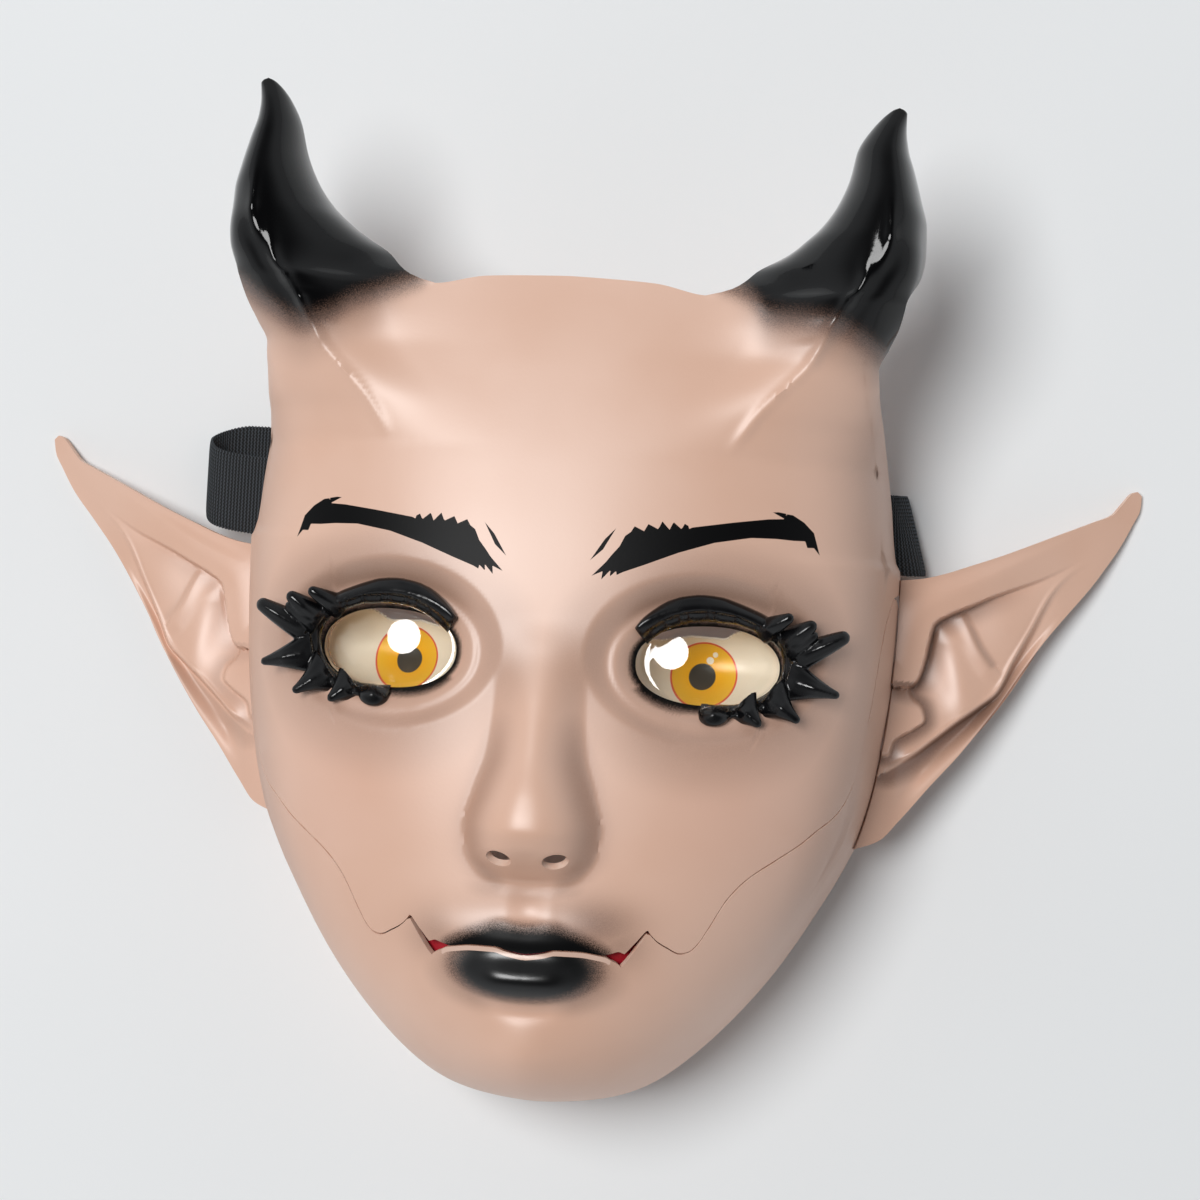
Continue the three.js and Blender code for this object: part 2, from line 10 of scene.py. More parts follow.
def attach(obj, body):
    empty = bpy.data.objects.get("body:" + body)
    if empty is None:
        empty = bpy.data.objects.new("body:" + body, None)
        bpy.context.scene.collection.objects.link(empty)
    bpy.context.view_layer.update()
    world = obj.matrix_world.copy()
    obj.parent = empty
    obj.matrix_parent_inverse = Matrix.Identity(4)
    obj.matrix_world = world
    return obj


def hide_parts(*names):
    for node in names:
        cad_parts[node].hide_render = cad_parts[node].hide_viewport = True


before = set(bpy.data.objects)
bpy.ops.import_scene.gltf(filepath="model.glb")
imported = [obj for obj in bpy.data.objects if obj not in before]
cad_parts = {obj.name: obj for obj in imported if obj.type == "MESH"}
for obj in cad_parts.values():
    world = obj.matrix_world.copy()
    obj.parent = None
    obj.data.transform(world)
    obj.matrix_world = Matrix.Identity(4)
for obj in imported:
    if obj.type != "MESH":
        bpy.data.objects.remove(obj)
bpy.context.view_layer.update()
print("frame loaded:", len(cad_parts), "solids")

mm = 0.001
chinY = -157.5
hornTipY = 152.0
hornFootY = 92.0  # each horn stands on the forehead's edge here
centreY = -(chinY + hornTipY) / 2  # the mask is centred on its box


def curveThrough(points):  # a smooth line through (position, value) pairs that never overshoots them
    at = np.array([p[0] for p in points], float)
    value = np.array([p[1] for p in points], float)
    slope = np.diff(value) / np.diff(at)
    before = slope[:-1]
    after = slope[1:]
    total = np.where(before + after == 0, 1, before + after)
    inner = np.where(before * after > 0, 2 * before * after / total, 0)
    tangent = np.concatenate([slope[:1], inner, slope[-1:]])

    def read(x):
        x = np.asarray(x, float)
        i = np.searchsorted(at[1:-1], x, side="left")
        h = at[i + 1] - at[i]
        u = (x - at[i]) / h
        v = 1 - u
        rising = value[i] * (1 + 2 * u) * v * v + tangent[i] * h * u * v * v
        falling = value[i + 1] * u * u * (3 - 2 * u) - tangent[i + 1] * h * u * u * v
        y = np.where(u < 0, value[i] + u * h * tangent[i], rising + falling)
        return np.where(u > 1, value[i + 1] + (u - 1) * h * tangent[i + 1], y)

    return read


def bell(d):
    return np.exp(-d * d)


def softSpot(x, y, height, atX, atY, wide, high):  # full in its middle and soft all round
    return height * bell((x - atX) / wide) * bell((y - atY) / high)


def smooth(start, stop, x):
    u = np.clip((x - start) / (stop - start), 0, 1)
    return u * u * (3 - 2 * u)


def lengthsAlong(at):  # the lengths from the start of a line to each of its places
    return np.concatenate([[0], np.cumsum(np.linalg.norm(np.diff(at, axis=0), axis=1))])


def roundLine(points, step=1.0):  # a smooth line through places, as closely spaced places
    at = np.array(points, float)
    length = lengthsAlong(at)
    along = np.linspace(0, length[-1], round(length[-1] / step) + 1)
    return np.stack([curveThrough(list(zip(length, at[:, k])))(along) for k in range(at.shape[1])], -1)


def offLine(x, y, points):  # distance from a line of points, less than 0 on its right side
    best = np.full(np.shape(x), 1e9)
    side = np.ones(np.shape(x))
    for (ax, ay), (bx, by) in zip(points, points[1:]):
        dx = bx - ax
        dy = by - ay
        length = np.hypot(dx, dy)
        along = np.clip(((x - ax) * dx + (y - ay) * dy) / (length * length), 0, 1)
        aside = (dx * (y - ay) - dy * (x - ax)) / length
        away = np.hypot(x - ax - along * dx, y - ay - along * dy) - 1e-5 * np.abs(aside)
        nearer = away < best
        side = np.where(nearer, np.where(aside > 0, 1, -1), side)
        best = np.where(nearer, away, best)
    return best * side


def spaced(*stretches):  # places along a line, each stretch as (from, to, step)
    parts = [np.linspace(a, b, max(2, round(abs(b - a) / step) + 1))[:-1] for a, b, step in stretches]
    return np.concatenate(parts + [[stretches[-1][1]]])


# The face is a dome: its width and depth follow the square root of the height over the chin
widthAt = curveThrough([
    (0, 0), (1.4, 19.5), (2.8, 34), (4.1, 45.6), (5.2, 55.8), (6.7, 70.2), (8, 82), (8.8, 89.3),
    (9.5, 94.6), (10.4, 98.6), (11.6, 101.5), (12.6, 102.2), (13.1, 102.2), (13.25, 100.5),
    (13.9, 98.2), (14.6, 95.2), (14.95, 93.6), (15.18, 93.4), (15.38, 96.7), (15.57, 100.8),
    (15.8, 105.4)])
depthAt = curveThrough([
    (0, 0), (1, 26), (2, 50), (3, 71), (4, 84.5), (5, 92), (6.2, 97), (7.3, 99.5), (8.6, 101),
    (10, 101.5), (12, 101), (13, 99.6), (14, 96.2), (15, 90.5), (15.92, 83.5)])
frontRound = curveThrough([(-157, 1.5), (-90, 2.7), (0, 2.3), (92, 2.6)])
cornerRound = curveThrough([(-157, 3), (-90, 2.7), (0, 3.45), (60, 4.2), (92, 4.2)])
shoulder = curveThrough([(44, 1), (53, 0.75), (59, 0.52), (65, 0.38), (71, 0.32), (92, 0.32)])
noseHeight = curveThrough([
    (-90, 0), (-82.6, 0), (-79.6, 3.5), (-75.7, 9.4), (-71, 14.6), (-66, 16.9), (-58, 15.6),
    (-45, 11), (-30, 6), (-15, 1.6), (-4, 0), (0, 0)])
noseWidth = curveThrough([
    (-90, 11), (-84, 12), (-80, 15.5), (-74, 19), (-66, 20), (-56, 17.5), (-45, 14.5), (-30, 13.5),
    (-10, 15)])
ridgeX = curveThrough([
    (45, 50), (57.7, 58.7), (73.7, 73.1), (83.6, 78), (90.8, 82.5), (97.3, 87.7), (103.7, 92.1),
    (110.7, 93.8), (125, 93.2), (140, 91.8), (152, 94.1)])
rootHeight = curveThrough([(44, 0), (52, 1.1), (60, 2.5), (68, 4.5), (76, 7.5), (84, 11.8), (92, 17.5)])
ridgeFoot = 44  # the ridges of the horns start at this height on the forehead
socketForm = {"x": 47, "y": -15, "halfX": 35, "halfY": 25, "depth": 15}
# The upper and lower lip, the crease under them, the chin and the groove over them, as soft spots: each
# one's height, its middle and how far it reaches across and up
lipForm = [(2.6, 0, -98.5, 20, 5), (5.5, 0, -110.5, 17, 5.4), (-2.2, 0, -120, 22, 4.2),
           (3, 0, -136, 15, 10), (-1.2, 0, -90, 4, 6)]


def rise(y):
    return np.sqrt(np.maximum(y - chinY, 0))


def nose(x, y):
    r = np.minimum(1, np.abs(x) / noseWidth(y))
    ball = smooth(-40, -62, y)
    across = (1 - ball) * (1 - r ** 2) ** 1.6 + ball * (1 - r ** 2.4) ** 1.1
    return np.where((y < -88) | (y > 0), 0, noseHeight(y) * across)


def socket(x, y):
    across = (np.abs(x) - socketForm["x"]) / socketForm["halfX"]
    up = (y - socketForm["y"]) / socketForm["halfY"]
    return -socketForm["depth"] * np.maximum(1 - (across ** 2 + up ** 2), 0) ** 1.25


def lips(x, y):
    return sum(softSpot(x, y, *each) for each in lipForm)


def hornRoot(x, y):  # the horns swell out of the forehead along a ridge
    d = np.abs(x) - ridgeX(y)
    return np.where(y > ridgeFoot, rootHeight(y) * bell(d / np.where(d < 0, 22, 30)), 0)


# Finer relief, which the solids leave out
eye = {"x": 47.3, "y": -17.0, "halfX": 20.8, "halfY": 11.6, "power": 2.2, "rim": 2.2}
nostril = {"x": 8.2, "y": -75.2, "halfX": 3.9, "halfY": 2.25, "turn": 13, "rim": 0.3}
crestForm = {"height": 1.0, "shelf": 0.9, "node": 0.45, "lowNode": 0.35, "nodeWide": 1.9, "nodeHigh": 1.7,
             "crease": 0.45}
hornNodes = [(93.8, 110.7), (92.1, 103.7), (87.7, 97.3), (82.5, 90.8), (78, 83.6), (73.1, 73.7)]


def eyeLevel(x, y):  # 1 on the edge of the eye hole, less inside it
    across = np.abs((np.abs(x) - eye["x"]) / eye["halfX"])
    up = np.abs((y - eye["y"]) / eye["halfY"])
    return (across ** eye["power"] + up ** eye["power"]) ** (1 / eye["power"])


def eyeDistance(x, y):  # millimetres outside the edge of the eye hole
    level = eyeLevel(x, y)
    reach = np.hypot(np.abs(x) - eye["x"], y - eye["y"])
    return (level - 1) * reach / np.maximum(level, 0.05)


def nostrilLevel(x, y):
    turn = radians(nostril["turn"])
    across = np.abs(x) - nostril["x"]
    up = y - nostril["y"]
    a = (across * np.cos(turn) + up * np.sin(turn)) / nostril["halfX"]
    b = (up * np.cos(turn) - across * np.sin(turn)) / nostril["halfY"]
    return np.hypot(a, b)


def openingLevel(x, y):  # less than 1 inside an eye hole or a nostril
    return np.minimum(eyeLevel(x, y), nostrilLevel(x, y))


def lidRim(x, y):  # a raised fold runs round the eye hole
    d = eyeDistance(x, y)
    return eye["rim"] * smooth(-1, 4.4, d) * smooth(8.8, 5.0, d)


def hornDetail(x, y):  # a fine crest with nodes, and creases that run inwards from between them
    x = np.abs(x)
    d = x - ridgeX(y)
    crest = crestForm["height"] * bell(d / 1.7) * smooth(ridgeFoot, 54, y) * smooth(128, 112, y)
    shelf = -crestForm["shelf"] * bell((d - 4.5) / 3.0) * smooth(70, 84, y) * smooth(125, 112, y)
    low = smooth(104, 93, y)
    bumps = sum(softSpot(x, y, 1, *at, crestForm["nodeWide"], crestForm["nodeHigh"]) for at in hornNodes)
    creases = 0
    for (ax, ay), (bx, by) in zip(hornNodes, hornNodes[1:]):
        midX = (ax + bx) / 2
        midY = (ay + by) / 2 - 0.12 * (midX - x)
        crease = crestForm["crease"] * bell((y - midY) / 1.0)
        creases = creases - crease * smooth(midX + 0.5, midX - 2, x) * smooth(midX - 13, midX - 4, x)
    return crest + shelf + (crestForm["node"] + crestForm["lowNode"] * low) * bumps + creases * low


lipDetail = {"banks": 0.14, "groove": 0.5, "bow": 0.2, "roll": 2.0, "rollEnds": 1.3, "rollFlat": 1.4,
             "edge": 0.45, "fill": (1.5, 0, -120, 22, 4.2), "tuck": 0.6, "chin": (0.8, 0, -131, 8, 13)}


def fineRelief(x, y):
    reach = np.abs(x)
    philtrum = smooth(-97, -94, y) * smooth(-83.5, -87, y)
    groove = lipDetail["banks"] * bell((reach - 6.4) / 2.2) + lipDetail["groove"] * bell(x / 4.2)
    groove = groove * philtrum
    bow = lipDetail["bow"] * bell((y + 95.4 - 1.3 * bell((reach - 6.5) / 5)) / 1.1) * smooth(13, 7, reach)
    rim = nostril["rim"] * bell((nostrilLevel(x, y) - 1.3) / 0.3)
    roll = lipDetail["roll"] + lipDetail["rollEnds"] * bell((reach - 11) / 6)  # round the lower lip
    roll = roll * bell((y + 110.5) / 8) - lipDetail["rollFlat"] * bell((y + 110) / 4.4)
    fuller = roll * bell(x / 17)
    edge = lipDetail["edge"] * bell((y + 117.8 - 0.02 * x * x) / 1.2) * smooth(21, 12, reach)
    tuck = lipDetail["tuck"] * bell((y + 121 - 0.017 * x * x) / 2.2) * bell(x / 17)
    tuck = softSpot(x, y, *lipDetail["fill"]) - tuck
    chin = softSpot(x, y, *lipDetail["chin"])
    low = groove + bow + rim + fuller + edge + tuck + chin + lidRim(x, y)
    return low + np.where(y > 45, hornDetail(x, y), 0)


def domeDepth(c, x, y):  # c is the cosine of the angle round the dome
    relief = nose(x, y) + socket(x, y) + lips(x, y) + hornRoot(x, y) + fineRelief(x, y)
    boxy = smooth(-24, 4, np.abs(x) - ridgeX(y)) * (y > ridgeFoot)  # squarer outside the ridge
    return depthAt(rise(y)) * (c + boxy * (c ** shoulder(y) - c)) + relief * smooth(0, 0.3, c)


def domePoint(angle, y):  # the outer surface from the height and the angle round the dome in degrees
    c = np.maximum(0, np.cos(np.radians(angle)))
    r = np.maximum(0, 1 - c ** cornerRound(y)) ** (1 / frontRound(y))
    x = np.sign(angle) * widthAt(rise(y)) * r
    return np.stack([x, y + 0 * x, domeDepth(c, x, y)], -1)


def angleAt(x, y):  # the angle round the dome at which the surface passes a given x
    r = np.minimum(1, np.abs(x) / widthAt(rise(y)))
    c = np.maximum(0, 1 - r ** frontRound(y)) ** (1 / cornerRound(y))
    return np.sign(x) * np.degrees(np.arccos(c))


def surfacePoint(x, y):
    return domePoint(angleAt(x, y), y)


# The seam between face and jaw, by the angle round the dome
faceRimBase = 76.3
faceRim = curveThrough([(-160, faceRimBase), (14, faceRimBase), (50, 71), (75, 63), (92, 51)])
lipSeam = curveThrough([
    (0, -103.1), (1.5, -102.3), (2.9, -101.4), (6, -101.5), (9, -102.2), (12.2, -103.2),
    (13.5, -103.6), (14.35, -101), (16.2, -94.7)])
cheekSeam = curveThrough([
    (16.2, -94.7), (18.5, -97.4), (21, -99.2), (24.8, -101.1), (26.6, -100.5), (27.8, -97.8),
    (28.6, -92.5), (29.6, -85.6), (32.5, -79), (38, -73), (43.6, -68), (47, -64.5), (52.4, -60),
    (55.6, -55), (57.2, -48), (58.2, -30), (59.6, -10), (61.5, -1), (67.4, 6.5), (77, 7.5), (90, 5)])
mouthDip = curveThrough([
    (0, 0), (10.5, 0), (11.6, 0.5), (13.2, 0.9), (14.2, 2.4), (14.6, 2.1), (15.5, 1.1), (16.3, 0.1),
    (90, 0)])
mouthLift = curveThrough([
    (0, 0), (9.6, 0), (10.9, 0.9), (12.5, 2.2), (14.1, 1.5), (14.9, 1.1), (15.6, 1.0), (16.2, 0.3),
    (17, 0), (90, 0)])
jawRim = curveThrough([(-160, 90), (-60, 90), (-30, 86), (5, 79), (40, 79)])
seam = {"turn": 0.12, "gap": 0.42, "trim": 3.6, "corner": 16.2,
        "keys": [12.2, 13.5, 14.35, 16.2, 18.5, 24.8, 26.6, 27.8, 28.6],
        "rows": [0, 0.12, 0.3, 0.6, 1.0, 1.6, 2.4, 3.4, 4.6, 6.0]}


def seamY(angle):
    angle = np.abs(angle)
    return np.where(angle < seam["corner"], lipSeam(angle), cheekSeam(angle))


def faceAngle(s, y):  # the angle of a column, from -1 to 1, which keeps to the face's rim
    return np.sign(s) * (faceRimBase * np.abs(s) - (faceRimBase - faceRim(y)) * s * s)


def snapTo(values, keys):  # moves the nearest value onto each key
    values = np.array(values, float)
    for key in keys:
        values[np.argmin(np.abs(values - key))] = key
    return values


def gridSheet(name, points):  # a grid whose corners are moved onto rows of points
    rows, columns = points.shape[:2]
    bpy.ops.object.select_all(action="DESELECT")
    bpy.ops.mesh.primitive_grid_add(x_subdivisions=columns - 1, y_subdivisions=rows - 1, size=2)
    sheet = bpy.context.object
    sheet.name = sheet.data.name = name
    flat = np.empty(len(sheet.data.vertices) * 3)
    sheet.data.vertices.foreach_get("co", flat)
    flat = flat.reshape(-1, 3)
    i = np.rint((flat[:, 0] + 1) / 2 * (columns - 1)).astype(int)
    j = np.rint((flat[:, 1] + 1) / 2 * (rows - 1)).astype(int)
    placed = points[j, i] + np.array([0, centreY, 0])
    sheet.data.vertices.foreach_set("co", (placed * mm).ravel())
    sheet.data.update()
    return sheet


def places(piece):  # a piece's corners in millimetres on the mask's own axes
    flat = np.empty(len(piece.data.vertices) * 3)
    piece.data.vertices.foreach_get("co", flat)
    return flat.reshape(-1, 3) / mm - np.array([0, centreY, 0])


def makeActive(piece):
    bpy.ops.object.select_all(action="DESELECT")
    piece.select_set(True)
    bpy.context.view_layer.objects.active = piece


def joinPieces(pieces, name):
    makeActive(pieces[0])
    for piece in pieces:
        piece.select_set(True)
    bpy.ops.object.join()
    pieces[0].name = pieces[0].data.name = name
    return pieces[0]


def mergeDoubles(piece, distance=0.004):
    makeActive(piece)
    bpy.ops.object.mode_set(mode="EDIT")
    bpy.ops.mesh.select_all(action="SELECT")
    bpy.ops.mesh.remove_doubles(threshold=distance * mm)
    bpy.ops.object.mode_set(mode="OBJECT")


def applyModifier(piece, kind, **settings):
    makeActive(piece)
    modifier = piece.modifiers.new(kind.title(), kind)
    for key, value in settings.items():
        setattr(modifier, key, value)
    bpy.ops.object.modifier_apply(modifier=modifier.name)


def addWall(piece, thickness, ownFinish=False, **more):  # the wall goes inwards from the modelled surface
    if ownFinish:  # the inside and the cut edge have a finish of their own
        more.update(material_offset=1, material_offset_rim=2)
    applyModifier(piece, "SOLIDIFY", thickness=thickness * mm, offset=-1, **more)


def shadeSmooth(piece, angle=40):
    makeActive(piece)
    bpy.ops.object.shade_smooth_by_angle(angle=radians(angle))


def storeValue(piece, name, values):  # paint strength from 0 to 1 at each corner of the mesh
    layer = piece.data.attributes.new(name, "FLOAT", "POINT")
    layer.data.foreach_set("value", np.clip(values, 0, 1).astype(np.float32))


def cutOpenings(x, y, levelAt):  # slides corners onto the openings' edges; side is 0 there, -1 inside
    level = levelAt(x, y)
    best = np.full(x.shape, 0.75)  # how far a corner slides, as a share of its cell, a half at most
    newX = x.copy()
    newY = y.copy()
    rows, columns = x.shape
    for dj, di in ((0, 1), (1, 0)):
        a = (slice(0, rows - dj), slice(0, columns - di))
        b = (slice(dj, rows), slice(di, columns))
        la = level[a]
        lb = level[b]
        crossing = (la - 1) * (lb - 1) < 0
        share = np.where(crossing, (1 - la) / np.where(crossing, lb - la, 1), 0)
        cutX = x[a] + (x[b] - x[a]) * share
        cutY = y[a] + (y[b] - y[a]) * share
        for corner, distance in ((a, share), (b, 1 - share)):
            better = crossing & (distance <= 0.5) & (distance < best[corner])
            newX[corner] = np.where(better, cutX, newX[corner])
            newY[corner] = np.where(better, cutY, newY[corner])
            best[corner] = np.where(better, distance, best[corner])
    onEdge = best < 0.7
    for _ in range(3):  # settles the corners on the edge itself
        step = 0.01
        now = levelAt(newX, newY)
        gx = (levelAt(newX + step, newY) - now) / step
        gy = (levelAt(newX, newY + step) - now) / step
        pull = np.where(onEdge, (1 - now) / np.maximum(gx * gx + gy * gy, 1e-9), 0)
        newX = newX + pull * gx
        newY = newY + pull * gy
    side = np.where(onEdge, 0, np.where(level > 1, 1, -1))
    return newX, newY, side


def openHoles(piece, side):  # removes what lies inside the openings
    mesh = bmesh.new()
    mesh.from_mesh(piece.data)
    mesh.verts.ensure_lookup_table()
    flat = side.ravel()  # the grid numbers its corners row by row
    gone = []
    for facet in list(mesh.faces):
        sides = [flat[v.index] for v in facet.verts]
        if min(sides) < 0:
            if max(sides) > 0:
                edge = [v for v, s in zip(facet.verts, sides) if s == 0]
                if len(edge) == 2:
                    other, _ = bmesh.utils.face_split(facet, edge[0], edge[1])
                    for part in (facet, other):
                        if min(flat[v.index] for v in part.verts) < 0:
                            gone.append(part)
                    continue
            gone.append(facet)
    bmesh.ops.delete(mesh, geom=gone, context="FACES")
    mesh.to_mesh(piece.data)
    mesh.free()


class Finish:  # a material's nodes, with short ways to add them
    def __init__(self, name):
        self.material = bpy.data.materials.new(name)
        self.material.use_nodes = True
        self.nodes = self.material.node_tree.nodes
        self.links = self.material.node_tree.links
        self.shader = self.nodes["Principled BSDF"]
        self.place = self.add("ShaderNodeTexCoord").outputs["Object"]

    def add(self, kind, **settings):
        node = self.nodes.new(kind)
        for key, value in settings.items():
            setattr(node, key, value)
        return node

    def feed(self, slot, value):
        if isinstance(value, bpy.types.NodeSocket):
            self.links.new(value, slot)
        else:
            slot.default_value = value

    def give(self, name, value):
        self.feed(self.shader.inputs[name], value)

    def math(self, operation, a, b=0.0, c=0.0, clamp=False):
        node = self.add("ShaderNodeMath", operation=operation, use_clamp=clamp)
        for slot, value in zip(node.inputs, (a, b, c)):
            self.feed(slot, value)
        return node.outputs[0]

    def plus(self, a, b):
        return self.math("ADD", a, b)

    def minus(self, a, b):
        return self.math("SUBTRACT", a, b)

    def times(self, a, b):
        return self.math("MULTIPLY", a, b)

    def blend(self, share, a, b):
        return self.math("MULTIPLY_ADD", share, self.minus(b, a), a)

    def mix(self, share, a, b):
        node = self.add("ShaderNodeMix", data_type="RGBA")
        self.feed(node.inputs[0], share)
        self.feed(node.inputs[6], a)
        self.feed(node.inputs[7], b)
        return node.outputs[2]

    def ramp(self, value, start, stop, low=0.0, high=1.0, soft=True):
        kind = "SMOOTHSTEP" if soft else "LINEAR"
        node = self.add("ShaderNodeMapRange", interpolation_type=kind, clamp=True)
        for slot, number in zip(node.inputs, (value, start, stop, low, high)):
            self.feed(slot, number)
        return node.outputs[0]

    def noise(self, scale, detail=2.0, stretch=None):
        node = self.add("ShaderNodeTexNoise")
        node.inputs["Scale"].default_value = scale
        node.inputs["Detail"].default_value = detail
        if stretch:
            mapping = self.add("ShaderNodeMapping")
            mapping.inputs["Scale"].default_value = stretch
            self.links.new(self.place, mapping.inputs["Vector"])
            self.links.new(mapping.outputs[0], node.inputs["Vector"])
        else:
            self.links.new(self.place, node.inputs["Vector"])
        return node.outputs[0]

    def attribute(self, name):
        return self.add("ShaderNodeAttribute", attribute_name=name).outputs["Fac"]

    def bump(self, height, strength, distance):
        node = self.add("ShaderNodeBump")
        self.feed(node.inputs["Height"], height)
        node.inputs["Strength"].default_value = strength
        node.inputs["Distance"].default_value = distance
        self.give("Normal", node.outputs[0])

    def axes(self):  # millimetres on the mask's own axes
        parts = self.add("ShaderNodeSeparateXYZ")
        self.links.new(self.place, parts.inputs[0])
        x = self.times(parts.outputs[0], 1 / mm)
        y = self.math("MULTIPLY_ADD", parts.outputs[1], 1 / mm, -centreY)
        return x, y

    def line(self, value, points):  # straight pieces through (position, value) pairs
        low = min(p[0] for p in points)
        high = max(p[0] for p in points)
        bottom = min(p[1] for p in points)
        top = max(p[1] for p in points)
        share = self.ramp(value, low, high, soft=False)
        node = self.add("ShaderNodeFloatCurve")
        curve = node.mapping.curves[0]
        ordered = sorted(points)
        while len(curve.points) < len(ordered):
            curve.points.new(0.5, 0.5)
        for point, (px, py) in zip(curve.points, ordered):
            point.location = ((px - low) / (high - low), (py - bottom) / (top - bottom))
            point.handle_type = "VECTOR"
        node.mapping.update()
        self.feed(node.inputs["Factor"], 1.0)
        self.feed(node.inputs["Value"], share)
        return self.math("MULTIPLY_ADD", node.outputs[0], top - bottom, bottom)


def twoTone(name, scale, one, other, roughness):  # a material that is slightly cloudy
    finish = Finish(name)
    cloud = finish.ramp(finish.noise(scale, 2.0), 0.3, 0.7)
    finish.give("Base Color", finish.mix(cloud, one, other))
    finish.give("Roughness", roughness)
    return finish.material


def darker(paint, share):
    return tuple(share * c for c in paint[:3]) + (1.0,)


def colour(red, green, blue):  # a screen colour as the shader's linear one
    parts = [c / 255 for c in (red, green, blue)]
    return tuple(c / 12.92 if c <= 0.04045 else ((c + 0.055) / 1.055) ** 2.4 for c in parts) + (1.0,)


# Camera 0.9 m over the face with a 90 mm lens, slightly turned
view = {"yaw": -0.09863549, "pitch": -0.00509729, "roll": -0.05727374, "shiftX": -12.88876,
        "distance": 900.0, "aimZ": 70.0, "lens": 90.0}


def addCamera():
    turn = (Matrix.Rotation(view["roll"], 3, "Z") @ Matrix.Rotation(view["pitch"], 3, "X")
            @ Matrix.Rotation(view["yaw"], 3, "Y"))
    seat = turn.transposed() @ Vector((-view["shiftX"], 0, view["distance"])) + Vector((0, 0, view["aimZ"]))
    seat.y += centreY
    data = bpy.data.cameras.new("camera")
    data.lens = view["lens"]
    data.sensor_width = 36.0
    data.clip_end = 20.0
    camera = bpy.data.objects.new("camera", data)
    bpy.context.scene.collection.objects.link(camera)
    camera.matrix_world = Matrix.Translation(seat * mm) @ turn.transposed().to_4x4()
    bpy.context.scene.camera = camera


addCamera()
print("camera placed")

# Paint on the flesh-coloured plastic; its brown also serves for painted shade
skinPaint = {
    "skin": colour(224, 184, 162), "skinWarm": colour(219, 176, 152), "shade": colour(96, 64, 50),
    "blush": colour(212, 146, 126), "black": colour(6, 6, 7), "edge": colour(233, 205, 188),
    "lipEdge": colour(214, 180, 162), "blushShare": 0.55, "shadeShare": 0.8, "fringeShare": 0.5,
    "roughness": 0.42, "hornRoughness": 0.09, "edgeRoughness": 0.55,
    "specular": 0.95, "paintSpecular": 0.12, "glossSpecular": 0.34, "speckle": 3600.0,
}
browUpper = [
    (13.0, 7.5), (16.8, 11.6), (18.4, 13.8), (20.8, 16.8), (21.8, 19.5), (24.5, 22.6), (23.6, 20.9),
    (28.4, 23.5), (27.4, 21.3), (32.4, 24.5), (31.4, 22.1), (35.6, 24.5), (34.8, 22.0),
    (38.8, 24.2), (38.1, 22.5), (40.0, 23.6), (40.2, 22.7), (41.1, 23.2), (53, 25.4), (62.7, 27),
    (67.2, 27.4), (67.9, 28.9), (69.7, 28.7), (73, 26.8), (76, 23.9), (78.1, 17.2)]
browLower = [
    (13.0, 7.4), (16.1, 8.9), (15.8, 6.4), (18.4, 9.4), (18.2, 7.4), (20.0, 9.2), (20.2, 8.0),
    (21.8, 8.9), (28, 11.4), (37.6, 15.5), (47.7, 19), (58.1, 21.1), (65.3, 21.3), (70.2, 21.1),
    (74.3, 19.3), (73.6, 21.2), (76.2, 19.4), (78.1, 17.2)]
strokeUpper = [
    (12.1, 11.7), (16.2, 18.4), (19.4, 21.9), (19.6, 21.9), (63.6, 29.1), (63.7, 29.1), (65.5, 29.3),
    (67.7, 29.0)]
strokeLower = [
    (12.1, 11.7), (15.8, 15.2), (19.4, 21.9), (19.6, 21.9), (63.6, 29.1), (63.7, 29.1), (67.2, 27.4),
    (67.7, 27.4)]
# The left brow sits a little lower towards its outer end, and the painted hairs lean outwards
brow = {"dropFrom": 12.0, "drop": 0.045, "lean": 0.3, "leanFrom": 21.5, "softEdge": 0.12}


def browMask(finish):
    x, y = finish.axes()
    reach = finish.math("ABSOLUTE", x)
    left = finish.math("LESS_THAN", x, 0.0)
    lower = finish.times(finish.minus(reach, brow["dropFrom"]), brow["drop"])
    y = finish.plus(y, finish.times(lower, left))
    slant = finish.times(finish.minus(y, brow["leanFrom"]), brow["lean"])
    slanted = finish.minus(reach, slant)
    hairs = [[(px - brow["lean"] * (py - brow["leanFrom"]), py) for px, py in side]
             for side in (browUpper, browLower)]
    bands = []
    for along, upper, under in ((slanted, *hairs), (reach, strokeUpper, strokeLower)):
        above = finish.minus(y, finish.line(along, under))
        below = finish.minus(finish.line(along, upper), y)
        within = finish.times(finish.math("GREATER_THAN", along, under[0][0]),
                             finish.math("LESS_THAN", along, under[-1][0]))
        inside = finish.ramp(finish.math("MINIMUM", above, below), 0.0, brow["softEdge"], soft=False)
        bands.append(finish.times(inside, within))
    return finish.math("MAXIMUM", bands[0], bands[1])


